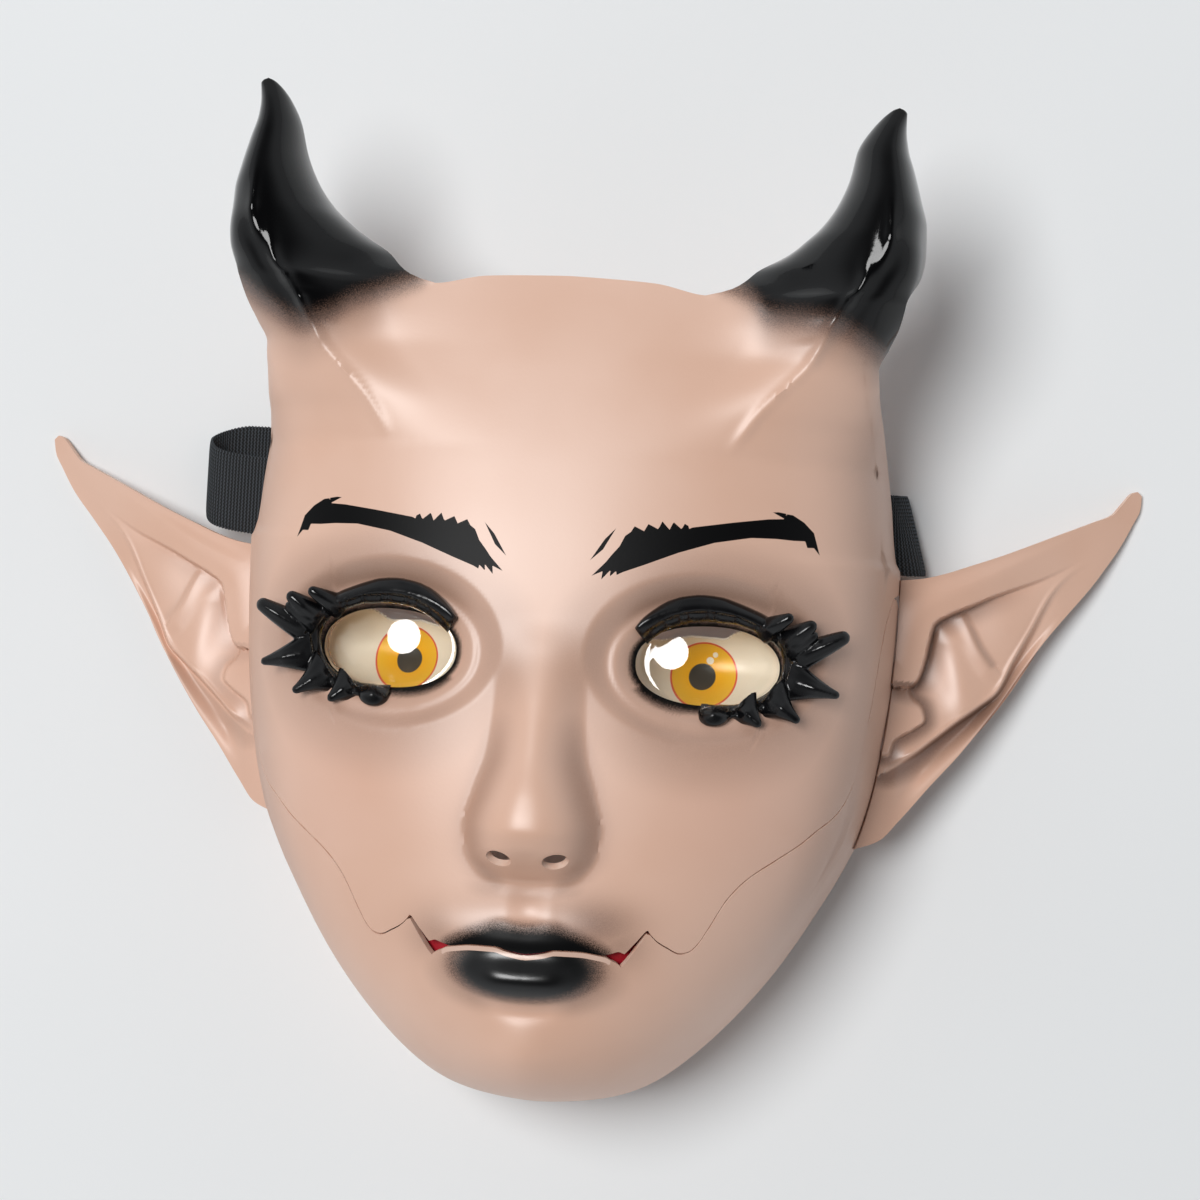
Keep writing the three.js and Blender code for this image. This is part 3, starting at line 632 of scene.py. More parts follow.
def skinFinish(name, painted):
    finish = Finish(name)
    cloudy = finish.noise(18.0, 3.0)
    base = finish.mix(finish.ramp(cloudy, 0.35, 0.7), skinPaint["skin"], skinPaint["skinWarm"])
    finish.give("Roughness", skinPaint["roughness"])
    finish.give("Specular IOR Level", skinPaint["specular"])
    if painted:
        grain = finish.minus(finish.noise(skinPaint["speckle"], 1.0), 0.5)
        # the shade value carries brown paint and painted shade alike
        shade = finish.attribute("shade")
        blush = finish.times(finish.attribute("blush"), skinPaint["blushShare"])
        base = finish.mix(blush, base, skinPaint["blush"])
        dots = finish.math("MULTIPLY_ADD", grain, finish.times(shade, 0.5), shade, clamp=True)
        base = finish.mix(finish.times(dots, skinPaint["shadeShare"]), base, skinPaint["shade"])
        spray = finish.attribute("spray")
        fade = finish.times(spray, finish.minus(1.0, spray))  # grainy where thin
        speckled = finish.math("MULTIPLY_ADD", grain, finish.times(fade, 4.0), spray)
        fringe = finish.times(finish.ramp(spray, 0.0, 0.45), skinPaint["fringeShare"])
        base = finish.mix(fringe, base, skinPaint["shade"])
        black = finish.math("MAXIMUM", finish.ramp(speckled, 0.05, 0.9), browMask(finish))
        bare = finish.ramp(finish.attribute("bare"), 0.42, 0.58, soft=False)
        black = finish.times(black, finish.minus(1.0, bare))
        base = finish.mix(black, base, skinPaint["black"])
        base = finish.mix(bare, base, skinPaint["lipEdge"])
        gloss = finish.attribute("gloss")
        polish = finish.ramp(gloss, 0.3, 1.0, skinPaint["roughness"], skinPaint["hornRoughness"])
        finish.give("Roughness", polish)
        dull = finish.times(black, finish.ramp(gloss, 0.0, 0.4, 1.0, 0.0))
        level = finish.ramp(dull, 0.0, 1.0, skinPaint["specular"], skinPaint["paintSpecular"], soft=False)
        level = finish.blend(finish.ramp(gloss, 0.4, 0.8), level, skinPaint["glossSpecular"])
        finish.give("Specular IOR Level", level)
    finish.give("Base Color", base)
    finish.bump(finish.noise(900.0, 3.0), 0.035, 0.0004)
    return finish.material


skinOuter = skinFinish("painted_skin", True)
skinInner = skinFinish("bare_skin", False)
cutEdge = twoTone("cut_edge", 300.0, skinPaint["edge"], skinPaint["skin"], skinPaint["edgeRoughness"])

# How far the black reaches over the eyelids in millimetres, the strengths of the brown paint and of the
# painted shade, and soft spots
airbrushAndShade = {"lid": 2.8, "lidUnder": 2.2, "socket": 0.42, "socketRim": 0.24, "noseSide": 0.5,
            "underNose": 0.3, "underLip": 0.45, "templeRight": 0.4, "templeLeft": 0.25, "hornFoot": 0.75,
            "creaseShade": 0.4, "lipGloss": 0.62, "socketInner": (0.3, 20, -12, 9, 15),
            "mouthCorner": (0.5, 27, -99, 9, 8), "mouth": (0.6, 0, -99, 27, 8.5),
            "mouthRight": (0.72, 20, -93.5, 13, 7.5), "mouthLeft": (0.25, -25, -97, 9, 6),
            "blush": (0.2, 60, -58, 26, 26)}
hornLineLeft = curveThrough([
    (46, 96), (63.3, 89.2), (70.8, 83.9), (78.1, 81.2), (89.9, 86.5), (97.1, 91.5)])
hornLineRight = curveThrough([
    (46, 99), (52.7, 96.4), (60, 90), (70.3, 89), (79.3, 87.4), (87.7, 83.7), (94.9, 79.1)])
lipTop = curveThrough([(0, -94), (8, -93.6), (14, -95.2), (20, -97.8), (26, -101.2), (40, -112)])


def blackSpray(x, y, z, isJaw, boundary):  # over the eyelids, horns and lips
    reach = np.abs(x)
    d = eyeDistance(x, y)
    under = bell((reach - 33) / 12) * (y < -24)
    lid = smooth(airbrushAndShade["lid"] + airbrushAndShade["lidUnder"] * under, 0.2, d) * (z > 60)
    horn = smooth(-12, 6, y - boundary) * smooth(38, 46, reach)
    lower = isJaw * smooth(1.36, 0.7, np.hypot(x / 20.5, (y + 107.2) / 9.2)) * (y < -90)
    upper = (not isJaw) * smooth(2.8, -5.4, y - lipTop(reach)) * smooth(29, 23, reach)
    upper = upper * (y < -88) * (z > 60)
    return lid, horn, lower, upper


def faceShade(x, y, z, isJaw):  # brown paint round the eyes, beside the nose and round the mouth; painted shade under the nose, over the lid folds and at the temples, which are partly brown paint too
    reach = np.abs(x)
    d = eyeDistance(x, y)
    outside = smooth(2.5, 12, d)
    # brown paint round the eyes, carried over the raised lid folds as painted shade
    ring = airbrushAndShade["socket"] * outside * smooth(25, 6, d) + airbrushAndShade["socketRim"] * smooth(1, 5, d)
    ring = ring * (z > 50) * smooth(30, 20, d)
    ring = ring * (1 - 0.4 * bell((reach - 19) / 9)) * (1 - 0.25 * smooth(-20, -32, y))
    inner = softSpot(reach, y, *airbrushAndShade["socketInner"]) * outside
    noseSide = airbrushAndShade["noseSide"] * bell((reach - noseWidth(y) + 2.6) / 4.6)
    noseSide = noseSide * smooth(-90, -82, y) * smooth(-20, -50, y)
    # painted shade under the nose
    underNose = airbrushAndShade["underNose"] * bell((y + 84.5) / 3.5) * smooth(21, 12, reach) * (z > 60)
    corners = softSpot(reach, y, *airbrushAndShade["mouthCorner"])
    hollow = smooth(3, 9, reach + 40 * (y < -97))
    around = np.maximum(softSpot(x, y, *airbrushAndShade["mouth"]) * hollow, corners)
    halo = softSpot(x, y, *airbrushAndShade["mouthRight"]) + softSpot(x, y, *airbrushAndShade["mouthLeft"])
    underLip = airbrushAndShade["underLip"] * smooth(1.7, 1.15, np.hypot(x / 20, (y + 108) / 9.5))
    halo = np.maximum(halo, isJaw * underLip * smooth(7, 16, reach))
    # darker at the temples: partly brown paint, partly painted shade on the sides turned from the light,
    # more on the right
    temple = airbrushAndShade["templeRight"] * smooth(82, 58, z) * smooth(56, 86, x)
    temple = temple + airbrushAndShade["templeLeft"] * smooth(80, 60, z) * smooth(60, 88, -x)
    return np.maximum.reduce([ring, inner, noseSide, underNose, around * (z > 60), halo * (z > 60), temple])


def hornShade(reach, y, boundary):  # brown paint under the horns' black, and painted shade in the creases between the nodes
    shade = airbrushAndShade["hornFoot"] * smooth(-20, -1, y - boundary) * smooth(46, 60, reach)
    for (ax, ay), (bx, by) in zip(hornNodes, hornNodes[1:]):
        midX = (ax + bx) / 2
        creaseShade = airbrushAndShade["creaseShade"] * bell((y - (ay + by) / 2 + 0.12 * (midX - reach)) / 1.1)
        creaseShade = creaseShade * smooth(midX + 0.5, midX - 1.5, reach) * smooth(midX - 12, midX - 3, reach)
        shade = np.maximum(shade, creaseShade)
    return shade


def paintSkin(piece):  # sprayed black, brown paint, painted shade and blush at each corner of the mesh
    x, y, z = places(piece).T
    reach = np.abs(x)
    isJaw = piece.name.endswith("jaw")
    boundary = np.where(x < 0, hornLineLeft(reach), hornLineRight(reach))
    lid, horn, lower, upper = blackSpray(x, y, z, isJaw, boundary)
    shade = np.maximum(faceShade(x, y, z, isJaw), hornShade(reach, y, boundary))
    angle = np.clip(np.abs(angleAt(x, y)), 0, 90)
    below = seamY(angle) - seam["gap"] / 2 - mouthDip(angle) - y
    bare = isJaw * smooth(1.7, 1.1, below) * smooth(25.2, 24.4, reach) * (below > -1.5) * (z > 60)
    storeValue(piece, "bare", bare)
    storeValue(piece, "spray", np.maximum.reduce([lid, horn, lower, upper]))
    storeValue(piece, "shade", (1 + 0.12 * smooth(-20, 30, x)) * shade)  # painted shade: the right side, turned from the light, is darker
    storeValue(piece, "blush", softSpot(reach, y, *airbrushAndShade["blush"]))
    storeValue(piece, "gloss", np.maximum(horn, airbrushAndShade["lipGloss"] * lower))


def dressSkin(piece):
    for material in (skinOuter, skinInner, cutEdge):
        piece.data.materials.append(material)


# Face shell with both horns
face = {"wall": 2.2, "front": (84, 0.95, -30.0), "side": 1.0, "temple": (56, 63, 0.45), "afterSeam": 1.2,
        "rows": [(-97, -60, 0.9), (-60, -42, 1.6), (-42, 13, 1.2), (13, 44, 2.6), (44, 95.8, 1.6)]}
# The right horn is a little stouter and shorter
horn = {"rows": [(hornFootY, 146, 1.25), (146, 150.4, 0.6), (150.4, hornTipY, 0.2)],
        "insetRight": 2.8, "insetLeft": 0.4, "heightRight": 0.955, "heightLeft": 0.98}
valleyShare = 12.2 / faceRimBase  # the horns begin at this share of the way round the dome
crestShare = 45 / faceRimBase  # and their ridges run up from here
faceTopY = curveThrough([(0, 95.8), (0.08, 94.8), (valleyShare, hornFootY), (1, hornFootY)])
hornInner = curveThrough([
    (hornFootY, 38), (94, 45), (97, 50.5), (102, 57), (106, 63.5), (110, 69.2), (116, 75.6),
    (123, 80.2), (131, 83.3), (140, 85.2), (146, 87.6), (149, 89.6), (150.4, 91.0), (151.4, 92.4),
    (hornTipY, 94)])
hornOuter = curveThrough([
    (hornFootY, 100.9), (100, 103), (109, 104.2), (117, 104), (125, 102), (134, 99.4), (140, 97.4),
    (146, 96.4), (150.4, 96.3), (151.4, 95.5), (hornTipY, 94)])
hornEdgeZ = curveThrough([(hornFootY, 57), (104, 64), (120, 70), (140, 76), (hornTipY, 84)])
hornRidgeZ = curveThrough([
    (hornFootY, 95), (104, 97), (120, 96), (135, 92), (145, 88), (hornTipY, 84)])


def hornPoint(y, s):  # above the valley each column runs on over the horn, between its two outlines
    a = np.abs(s)
    foot = domePoint(faceAngle(a, hornFootY), hornFootY + 0 * a)
    ends = [faceAngle(np.array(at), hornFootY) for at in (valleyShare, 1.0)]
    first, last = [domePoint(end, np.array(hornFootY))[0] for end in ends]
    settle = 1 - smooth(hornFootY, 102, y)
    inset = np.where(s > 0, horn["insetRight"], horn["insetLeft"])
    inset = inset * smooth(hornFootY, 113, y) * smooth(hornTipY, 138, y)
    inner = hornInner(y) - inset + (first - hornInner(hornFootY)) * settle
    outer = hornOuter(y) + (last - hornOuter(hornFootY)) * settle
    past = a - crestShare
    q = np.where(past < 0, past / (crestShare - valleyShare), past / (1 - crestShare))
    ridge = (ridgeX(y) - inner) / np.maximum(outer - inner, 0.01)
    arch = np.clip(ridge, 0.3, 0.75)
    across = arch + np.where(q < 0, arch, 1 - arch) * np.sin(np.radians(q * 90))
    mix = smooth(hornFootY, 112, y)
    share = (1 - mix) * (foot[..., 0] - first) / (last - first) + mix * across
    x = inner + (outer - inner) * share
    fall = np.maximum(np.cos(np.radians(q * 90)), 0)
    square = np.where(q > 0, 0.42 + 0.58 * smooth(98, 118, y), 1)
    lift = hornEdgeZ(y) + (hornRidgeZ(y) - hornEdgeZ(y)) * fall ** square
    detail = hornDetail(x, y) * mix * smooth(hornTipY, 140, y)
    height = hornFootY + (y - hornFootY) * np.where(s > 0, horn["heightRight"], horn["heightLeft"])
    return np.stack([np.sign(s) * x, height + 0 * x, (1 - mix) * foot[..., 2] + mix * lift + detail], -1)


def bothHalves(half):  # the columns of one half and their mirror
    return np.concatenate([-half[::-1], half[1:]] if half[0] == 0 else [-half[::-1], half])


def makeFace():
    end, step, level = face["front"]
    front = angleAt(np.arange(0, end, step), level)
    start, stop, _ = face["temple"]
    side = spaced((front[-1], start, face["side"]), face["temple"], (stop, faceRimBase, face["side"]))
    half = snapTo(np.concatenate([front, side[1:]]), seam["keys"]) / faceRimBase
    s = bothHalves(half)[None, :]
    angle = faceRimBase * np.abs(s)
    foot = seamY(angle + seam["turn"]) + seam["gap"] / 2 + mouthLift(angle)
    near = np.array(seam["rows"])[:, None]
    levels = spaced(*face["rows"])
    far = ((levels - levels[0]) / (levels[-1] - levels[0]))[:, None]
    reach = near[-1, 0] + face["afterSeam"]
    y = np.concatenate([foot + near, foot + reach + (faceTopY(np.abs(s)) - foot - reach) * far])
    points = domePoint(faceAngle(s, y), y)
    x, y, side = cutOpenings(points[..., 0], y, openingLevel)
    touched = (side < 1)[..., None]
    sheet = gridSheet("face", np.where(touched, surfacePoint(x, y), points))
    openHoles(sheet, side)
    hornHalf = half[half > valleyShare - 0.001]
    hornY = spaced(*horn["rows"])[:, None]
    right = gridSheet("horn", hornPoint(hornY, hornHalf[None, :]))
    left = gridSheet("horn", hornPoint(hornY, -hornHalf[::-1][None, :]))
    piece = joinPieces([sheet, right, left], "mask_face")
    mergeDoubles(piece)
    dressSkin(piece)
    return piece


def thinHornTips(piece):  # the wall thins towards the horns' tips
    at = places(piece)
    group = piece.vertex_groups.new(name="wall")
    width = hornOuter(at[:, 1]) - hornInner(at[:, 1])
    thin = np.clip(np.where(at[:, 1] < 118, 1, (0.3 + 0.2 * width) / face["wall"]), 0.1, 1)
    group.add(np.flatnonzero(thin >= 1).tolist(), 1.0, "REPLACE")
    for i in np.flatnonzero(thin < 1):
        group.add([int(i)], float(thin[i]), "REPLACE")


faceShell = makeFace()
thinHornTips(faceShell)
addWall(faceShell, face["wall"], ownFinish=True, vertex_group="wall")
paintSkin(faceShell)
shadeSmooth(faceShell)
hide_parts("face_shell")
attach(faceShell, "mask")
print("face shell:", len(faceShell.data.polygons), "faces")

# Jaw shell up to the hinge
jaw = {"wall": 2.2, "front": (62, 0.8, -100.0), "side": 1.6, "afterSeam": 1.0, "rows": 80}


def jawTop(s):  # closes in on the height at which each column of the jaw meets the seam
    low = np.full(s.shape, -115.0)
    high = np.full(s.shape, 30.0)
    for _ in range(40):
        mid = (low + high) / 2
        angle = np.abs(s) * jawRim(mid)
        limit = seamY(angle - seam["turn"]) - seam["gap"] / 2 - mouthDip(angle)
        limit = limit - seam["trim"] * smooth(67, 77, angle)
        below = mid < limit
        low = np.where(below, mid, low)
        high = np.where(below, high, mid)
    return low


def makeJaw():
    end, step, level = jaw["front"]
    front = angleAt(np.arange(0, end, step), level)
    side = np.linspace(front[-1], 90, round((90 - front[-1]) / jaw["side"]) + 1)
    angles = snapTo(np.concatenate([front, side[1:]]), seam["keys"])
    half = angles / np.where(angles < 89.9, jawRim(seamY(np.minimum(angles, 76))), 90)
    half = np.unique(np.clip(half, 0, 1))
    s = bothHalves(half)[None, :]
    top = jawTop(s)
    near = -np.array(seam["rows"])[:, None]
    reach = near[-1, 0] - jaw["afterSeam"]
    climb = np.linspace(0, 1, jaw["rows"])[:, None]
    far = chinY + (climb * rise(top + reach)) ** 2
    y = np.concatenate([far, (top + near)[::-1]])
    piece = gridSheet("mask_jaw", domePoint(s * jawRim(y), y))
    mergeDoubles(piece)
    dressSkin(piece)
    return piece


jawShell = makeJaw()
addWall(jawShell, jaw["wall"], ownFinish=True)
paintSkin(jawShell)
shadeSmooth(jawShell)
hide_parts("jaw_shell")
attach(jawShell, "jaw")
print("jaw shell:", len(jawShell.data.polygons), "faces")

# Red sheet behind the lips
lining = {"depth": 3.4, "gap": 1.0, "wall": 1.2, "reach": 17.4, "columns": 71, "from": -108.0, "to": -86.0,
          "rows": 45, "colour": colour(176, 12, 34), "deepShare": 0.7, "roughness": 0.5}


def makeLining():
    angle = np.linspace(-lining["reach"], lining["reach"], lining["columns"])[None, :]
    y = np.linspace(lining["from"], lining["to"], lining["rows"])[:, None]
    points = domePoint(angle + 0 * y, y + 0 * angle)
    points[..., 2] -= lining["depth"] + lining["gap"]
    piece = gridSheet("lip_lining", points)
    deep = darker(lining["colour"], lining["deepShare"])
    piece.data.materials.append(twoTone("red_sheet", 120.0, lining["colour"], deep, lining["roughness"]))
    addWall(piece, lining["wall"])
    return piece


lipLining = makeLining()
shadeSmooth(lipLining)
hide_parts("mouth_lining")
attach(lipLining, "jaw")
print("lining made")

# Ears: the left one's relief is flatter, and its folds get less painted shade, as the light falls from the
# left
ear = {"wall": 1.8, "rows": 150, "columns": 150, "clear": 0.4, "rootLevel": 26.0, "gloss": 0.36,
       "fallFrom": 102, "rootZ": 26.6, "fall": 24.8, "run": 74, "tipUp": 1.0,
       "relief": {1: 1, -1: 0.68}, "shade": {1: 0.98, -1: 0.3}}
earForm = {"flap": 3.4, "rim": 1.2, "rimWide": 1.6, "hollow": 0.9, "hollowRoot": (5.6, 111, -16, 21, 24),
           "column": 1.5, "mound": (0.8, 137, 1, 9, 10), "crease": 1.2, "crest": 0.8, "behind": 4.2,
           "lobe": (2.2, 109, -42, 5, 4.5)}
# Strengths of the painted shade in the ear's folds
earShade = {"all": 0.02, "tucked": 0.85, "corner": 0.95, "groove": 0.45, "root": 0.3}
earTop = [
    (0, 104.2, 12.3), (0.1, 110, 13.2), (0.2, 118, 15.5), (0.32, 127, 19), (0.44, 136, 22.8),
    (0.56, 145, 27), (0.68, 153.5, 31), (0.78, 160.5, 34.2), (0.87, 166.5, 37), (0.93, 169.8, 39.9),
    (0.965, 171.9, 42.0), (0.985, 173.4, 43.3), (1, 175.2, 43.9)]
earFoot = [
    (0, 94.5, -71.8), (0.1, 100.5, -69), (0.2, 105.5, -62.5), (0.32, 113, -52.5),
    (0.44, 122.5, -41), (0.56, 132.5, -27), (0.68, 143, -9.5), (0.78, 152.5, 4.8),
    (0.87, 162.5, 17.8), (0.93, 169.5, 26.5), (0.965, 173.6, 33.4), (0.985, 176.2, 38.6),
    (1, 176.6, 42.6)]
topX, topY = [curveThrough([(p[0], p[k]) for p in earTop]) for k in (1, 2)]
footX, footY = [curveThrough([(p[0], p[k]) for p in earFoot]) for k in (1, 2)]
# How far each ear's whole height and its lower edge stand outwards
earDrift = {
    1: (curveThrough([(0, 0), (0.5, 0.7), (0.85, 1.2), (0.95, 0.5), (1, 0)]),
        curveThrough([(0, 0), (0.5, 0), (0.7, 0.6), (0.82, 1.6), (0.93, 0.4), (1, 0)])),
    -1: (curveThrough([(0, 0), (1, 0)]),
         curveThrough([(0, -1.6), (0.5, -2.7), (0.8, -2.6), (0.95, -0.8), (1, 0)]))}
hollowLip = roundLine([
    (104, -20.9), (106.3, -20.9), (109.2, -18), (111, -11.6), (112.2, -4.7), (113.2, -0.9),
    (117.1, 2.1), (124.4, 5.7), (130.2, 8.6), (137.6, 11.8), (143.2, 14.1), (148.7, 16.9), (160, 24)])
flapLine = roundLine([
    (98, -42.3), (101, -42.3), (102.6, -37.9), (108.5, -33.8), (111.8, -30.6), (111, -27.5),
    (107, -23.3), (106.3, -20.9), (104, -20.9)])
ridgeLine = roundLine([
    (101, -47), (108.9, -41.5), (115.2, -36.4), (121.8, -30.8), (127.8, -26.1), (133.5, -21.1),
    (137.7, -11.7), (143.1, -0.7), (148.5, 10.3), (152.9, 15.9), (161.2, 22.4), (170, 29)])
foldLine = roundLine([(122.2, 2.6), (123.4, 0.8), (124.9, -1.8), (128, -7.3), (131.8, -12.2)])


def earSlope(x):  # the ears slope down to their tips
    return ear["rootZ"] - (ear["fall"] * (x - ear["fallFrom"])) / ear["run"]


def earRoot(y):  # the ear starts a hair outside the shell
    level = np.clip(ear["rootLevel"] / depthAt(rise(y)), 0, 1)
    side = widthAt(rise(y)) * (1 - level ** cornerRound(y)) ** (1 / frontRound(y))
    return np.minimum(side, widthAt(rise(y))) + ear["clear"]


def earDistances(x, y):  # over 0 above the hollow's lip, on the flap, in the hollow and over the fold
    return [offLine(x, y, line) for line in (hollowLip, flapLine, ridgeLine, foldLine)]


def earRelief(x, y):
    lip, flap, ridge, fold = earDistances(x, y)
    inHollow = np.minimum(-lip, ridge)
    inner = smooth(0, 2.5, inHollow)
    flapUp = earForm["flap"] * smooth(-0.7, 0.7, flap)
    flapUp = flapUp * smooth(-46, -40, y) * smooth(-17, -22, y) * smooth(116, 111, x)
    rim = earForm["rim"] + earForm["rimWide"] * smooth(148, 122, x)
    rim = rim * smooth(-0.6, 0.7, lip) * smooth(16, 4, lip) * smooth(158, 130, x)
    floor = (earForm["hollow"] + softSpot(x, y, *earForm["hollowRoot"])) * smooth(160, 136, x)
    share = np.clip(-lip / np.maximum(-lip + ridge, 0.1), 0, 1)
    bowl = smooth(162, 142, x) * smooth(0.7, -0.7, lip) * smooth(-0.4, 1.2, ridge)
    bowl = bowl * (share - floor * (1 - share) ** 1.3)
    column = earForm["column"] * bell((x - 119.5 + 0.3 * (y + 12)) / 5.5)
    column = column * smooth(2, -7, y) * smooth(-38, -20, y) * inner
    mound = softSpot(x, y, *earForm["mound"]) * smooth(0, 3, inHollow)
    crease = earForm["crease"] * smooth(1.0, -1.0, fold) * smooth(-7, -1, fold)
    crease = crease * bell((x - 127) / 7) * inner
    crest = earForm["crest"] * bell((ridge - 0.5) / 1.0) * smooth(156, 142, x) * smooth(104, 110, x)
    back = -earForm["behind"] * smooth(0.5, -1.1, ridge) * smooth(-15, -2.5, ridge)
    back = back * smooth(152, 130, x) * smooth(103, 112, x)
    lobe = softSpot(x, y, *earForm["lobe"])
    return flapUp + rim + bowl + column + mound + crease + crest + back + lobe


def earPoint(p, q, side):  # p runs from the root to the tip and q from the top edge down
    y = topY(p) + (footY(p) - topY(p)) * q
    straight = topX(p) + (footX(p) - topX(p)) * q
    root = earRoot(y) - (topX(0) + (footX(0) - topX(0)) * ((topY(0) - y) / (topY(0) - footY(0))))
    x = straight + root * (1 - p) ** 3
    fade = smooth(0, 0.08, q) * smooth(1, 0.84, q) * ear["relief"][side]
    z = earSlope(x) + earRelief(x, y) * fade
    whole, lower = earDrift[side]
    x = x + whole(p) + lower(p) * smooth(0.1, 1, q)
    return np.stack([x, y + ear["tipUp"] * smooth(0.85, 1, p), z], -1)


def paintEar(piece, side):  # painted shade in the folds, under the edges and at the root
    x, y, z = places(piece).T
    x = np.abs(x)
    lip, flap, ridge, fold = earDistances(x, y)
    behind = smooth(0.2, -1.0, ridge) * smooth(-9, -2, ridge) * smooth(148, 128, x)
    tucked = earShade["tucked"] * smooth(0.3, -0.9, lip) * smooth(-8, -1, lip)
    tucked = tucked * smooth(146, 118, x) * (ridge > 0)
    corner = earShade["corner"] * smooth(0.3, -0.9, flap) * smooth(-6, -1, flap)
    corner = corner * (y < -19) * (y > -46) * (x < 119)
    groove = earShade["groove"] * bell(fold / 1.3)
    root = earShade["root"] * smooth(112, 101, x)
    folds = np.maximum.reduce([behind, tucked, corner, groove, root])
    storeValue(piece, "shade", earShade["all"] + ear["shade"][side] * folds)
    storeValue(piece, "gloss", ear["gloss"] * (lip < 0) * (ridge > 0) * smooth(150, 130, x))


def makeEar(name, side):
    p = np.linspace(0, 1, ear["columns"])[None, :]
    q = np.linspace(1, 0, ear["rows"])[:, None]
    points = earPoint(p + 0 * q, q + 0 * p, side)
    if side < 0:
        points = points[:, ::-1] * np.array([-1, 1, 1])
    piece = gridSheet(name, points)
    mergeDoubles(piece)
    dressSkin(piece)
    addWall(piece, ear["wall"], ownFinish=True)
    paintEar(piece, side)
    shadeSmooth(piece, 50)
    return piece


for name, side in (("right", 1), ("left", -1)):
    piece = makeEar("leaf_ear_" + name, side)
    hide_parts("ear_" + name)
    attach(piece, "mask")
print("ears made")

# Black lash frames: a band over the upper lid and outer corner, with curved spikes. A row of the band
# is a place on its outer edge and one on its edge beside the eye
lash = {"voxel": 0.36, "skirt": 0.4, "steps": 300, "around": 41, "crown": 2.0, "ledge": 1.4,
        "overhang": 3.4, "underhang": 2.9, "rib": 0.9, "rise": 0.2, "rootUp": 1.4, "bow": 0.08,
        "pastTip": 0.9, "keel": 0.22, "flat": 0.8, "thickest": 2.5, "under": 0.5,
        "rings": 44, "spokes": 29, "colour": colour(9, 9, 11), "colourWorn": colour(26, 26, 30)}
band = [
    (25.9, -6.8, 29.6, -11.7), (28.4, -3.5, 31.6, -9.6), (31.4, -0.9, 34.5, -7.5),
    (35.3, 1.6, 38.4, -5.6), (40.3, 3.3, 42.4, -4.4), (45.3, 3.9, 46.7, -4.0),
    (50.1, 3.6, 50.6, -4.2), (55.0, 2.3, 54.9, -4.4), (59.4, 0.7, 58.8, -5.6),
    (63.4, -1.0, 62.8, -7.1), (67.9, -4.1, 65.8, -9.1), (72.0, -8.8, 68.1, -11.9),
    (74.3, -13.5, 68.8, -14.8), (74.3, -18.4, 68.5, -18.2), (72.6, -21.9, 67.4, -20.9),
    (69.1, -25.0, 65.2, -23.7), (65.4, -27.8, 61.9, -25.9), (60.7, -30.2, 58.1, -27.1),
    (56.0, -31.6, 53.9, -27.8), (50.6, -32.6, 50.0, -27.9), (46.1, -31.6, 45.9, -27.8)]
bandOutX, bandOutY, bandInX, bandInY = [
    curveThrough([(i, row[k]) for i, row in enumerate(band)]) for k in range(4)]
# Places of the small ribs along the band
ribs = [2.4, 3.4, 4.0, 5.2, 5.7, 7.1, 8.5, 8.9]
# Each spike: its tip, the place of its root, the radius there and at the tip, and how fast it narrows
spikes = [
    ((86.9, -6.1, 84), (73.0, -13.2), 4.4, 1.6, 0.75), ((77.5, -3.1, 88), (69.2, -9.3), 4.8, 1.3, 0.9),
    ((78.2, -6.0, 86.5), (70.0, -11.0), 3.8, 1.1, 0.9), ((70.9, -1.3, 90), (62.2, -6.0), 4.0, 1.2, 0.9),
    ((85.4, -23.3, 83), (70.7, -19.6), 7.0, 1.05, 1.3), ((74.3, -31.1, 88), (65.6, -25.2), 7.4, 1.2, 1.6),
    ((63.3, -32.9, 90), (57.8, -28.4), 6.4, 1.15, 1.5), ((50.3, -31.6, 91), (50.1, -30.0), 4.8, 4.1, 1.0)]


def lashFinish():
    finish = Finish("glossy_black")
    worn = finish.ramp(finish.noise(240.0, 3.0), 0.55, 0.8, 0.0, 0.35)
    finish.give("Base Color", finish.mix(worn, lash["colour"], lash["colourWorn"]))
    finish.give("Roughness", finish.ramp(finish.noise(160.0, 2.0), 0.3, 0.7, 0.16, 0.3))
    finish.bump(finish.noise(500.0, 2.0), 0.06, 0.0004)
    return finish.material


def bandTube():  # a crowned strip with a ledge and small ribs along its eye side
    i = np.linspace(0, len(band) - 1, lash["steps"])[None, :]
    top = 2 * np.linspace(0, 1, lash["around"])[:, None]  # over 1 on the underside
    across = np.where(top <= 1, top, 2 - top)
    x = bandInX(i) + (bandOutX(i) - bandInX(i)) * across
    y = bandInY(i) + (bandOutY(i) - bandInY(i)) * across
    points = surfacePoint(x, y)
    upperLid = smooth(11, 9.5, i)
    crown = lash["crown"] + lash["ledge"] * smooth(0.3, 0.44, across) * upperLid
    ends = smooth(-0.05, 0.3, i) * smooth(20.05, 19.6, i)
    lifted = crown * np.maximum(1 - np.abs(2 * across - 1) ** 5, 0) ** 0.5 * (0.6 + 0.4 * ends)
    rib = sum(bell((i - at) / 0.13) for at in ribs) * bell((across - 0.2) / 0.17)
    height = np.where(top <= 1, lifted + lash["rib"] * rib + lash["rise"], lash["skirt"])
    overhang = upperLid * np.maximum(1 - across, 0) ** 1.4 * smooth(-0.2, 1.5, i)
    points[..., 2] += height + overhang * np.where(top <= 1, lash["overhang"], lash["underhang"])
    points = np.concatenate([points[:-1], points[:1]])
    return gridSheet("band", points)


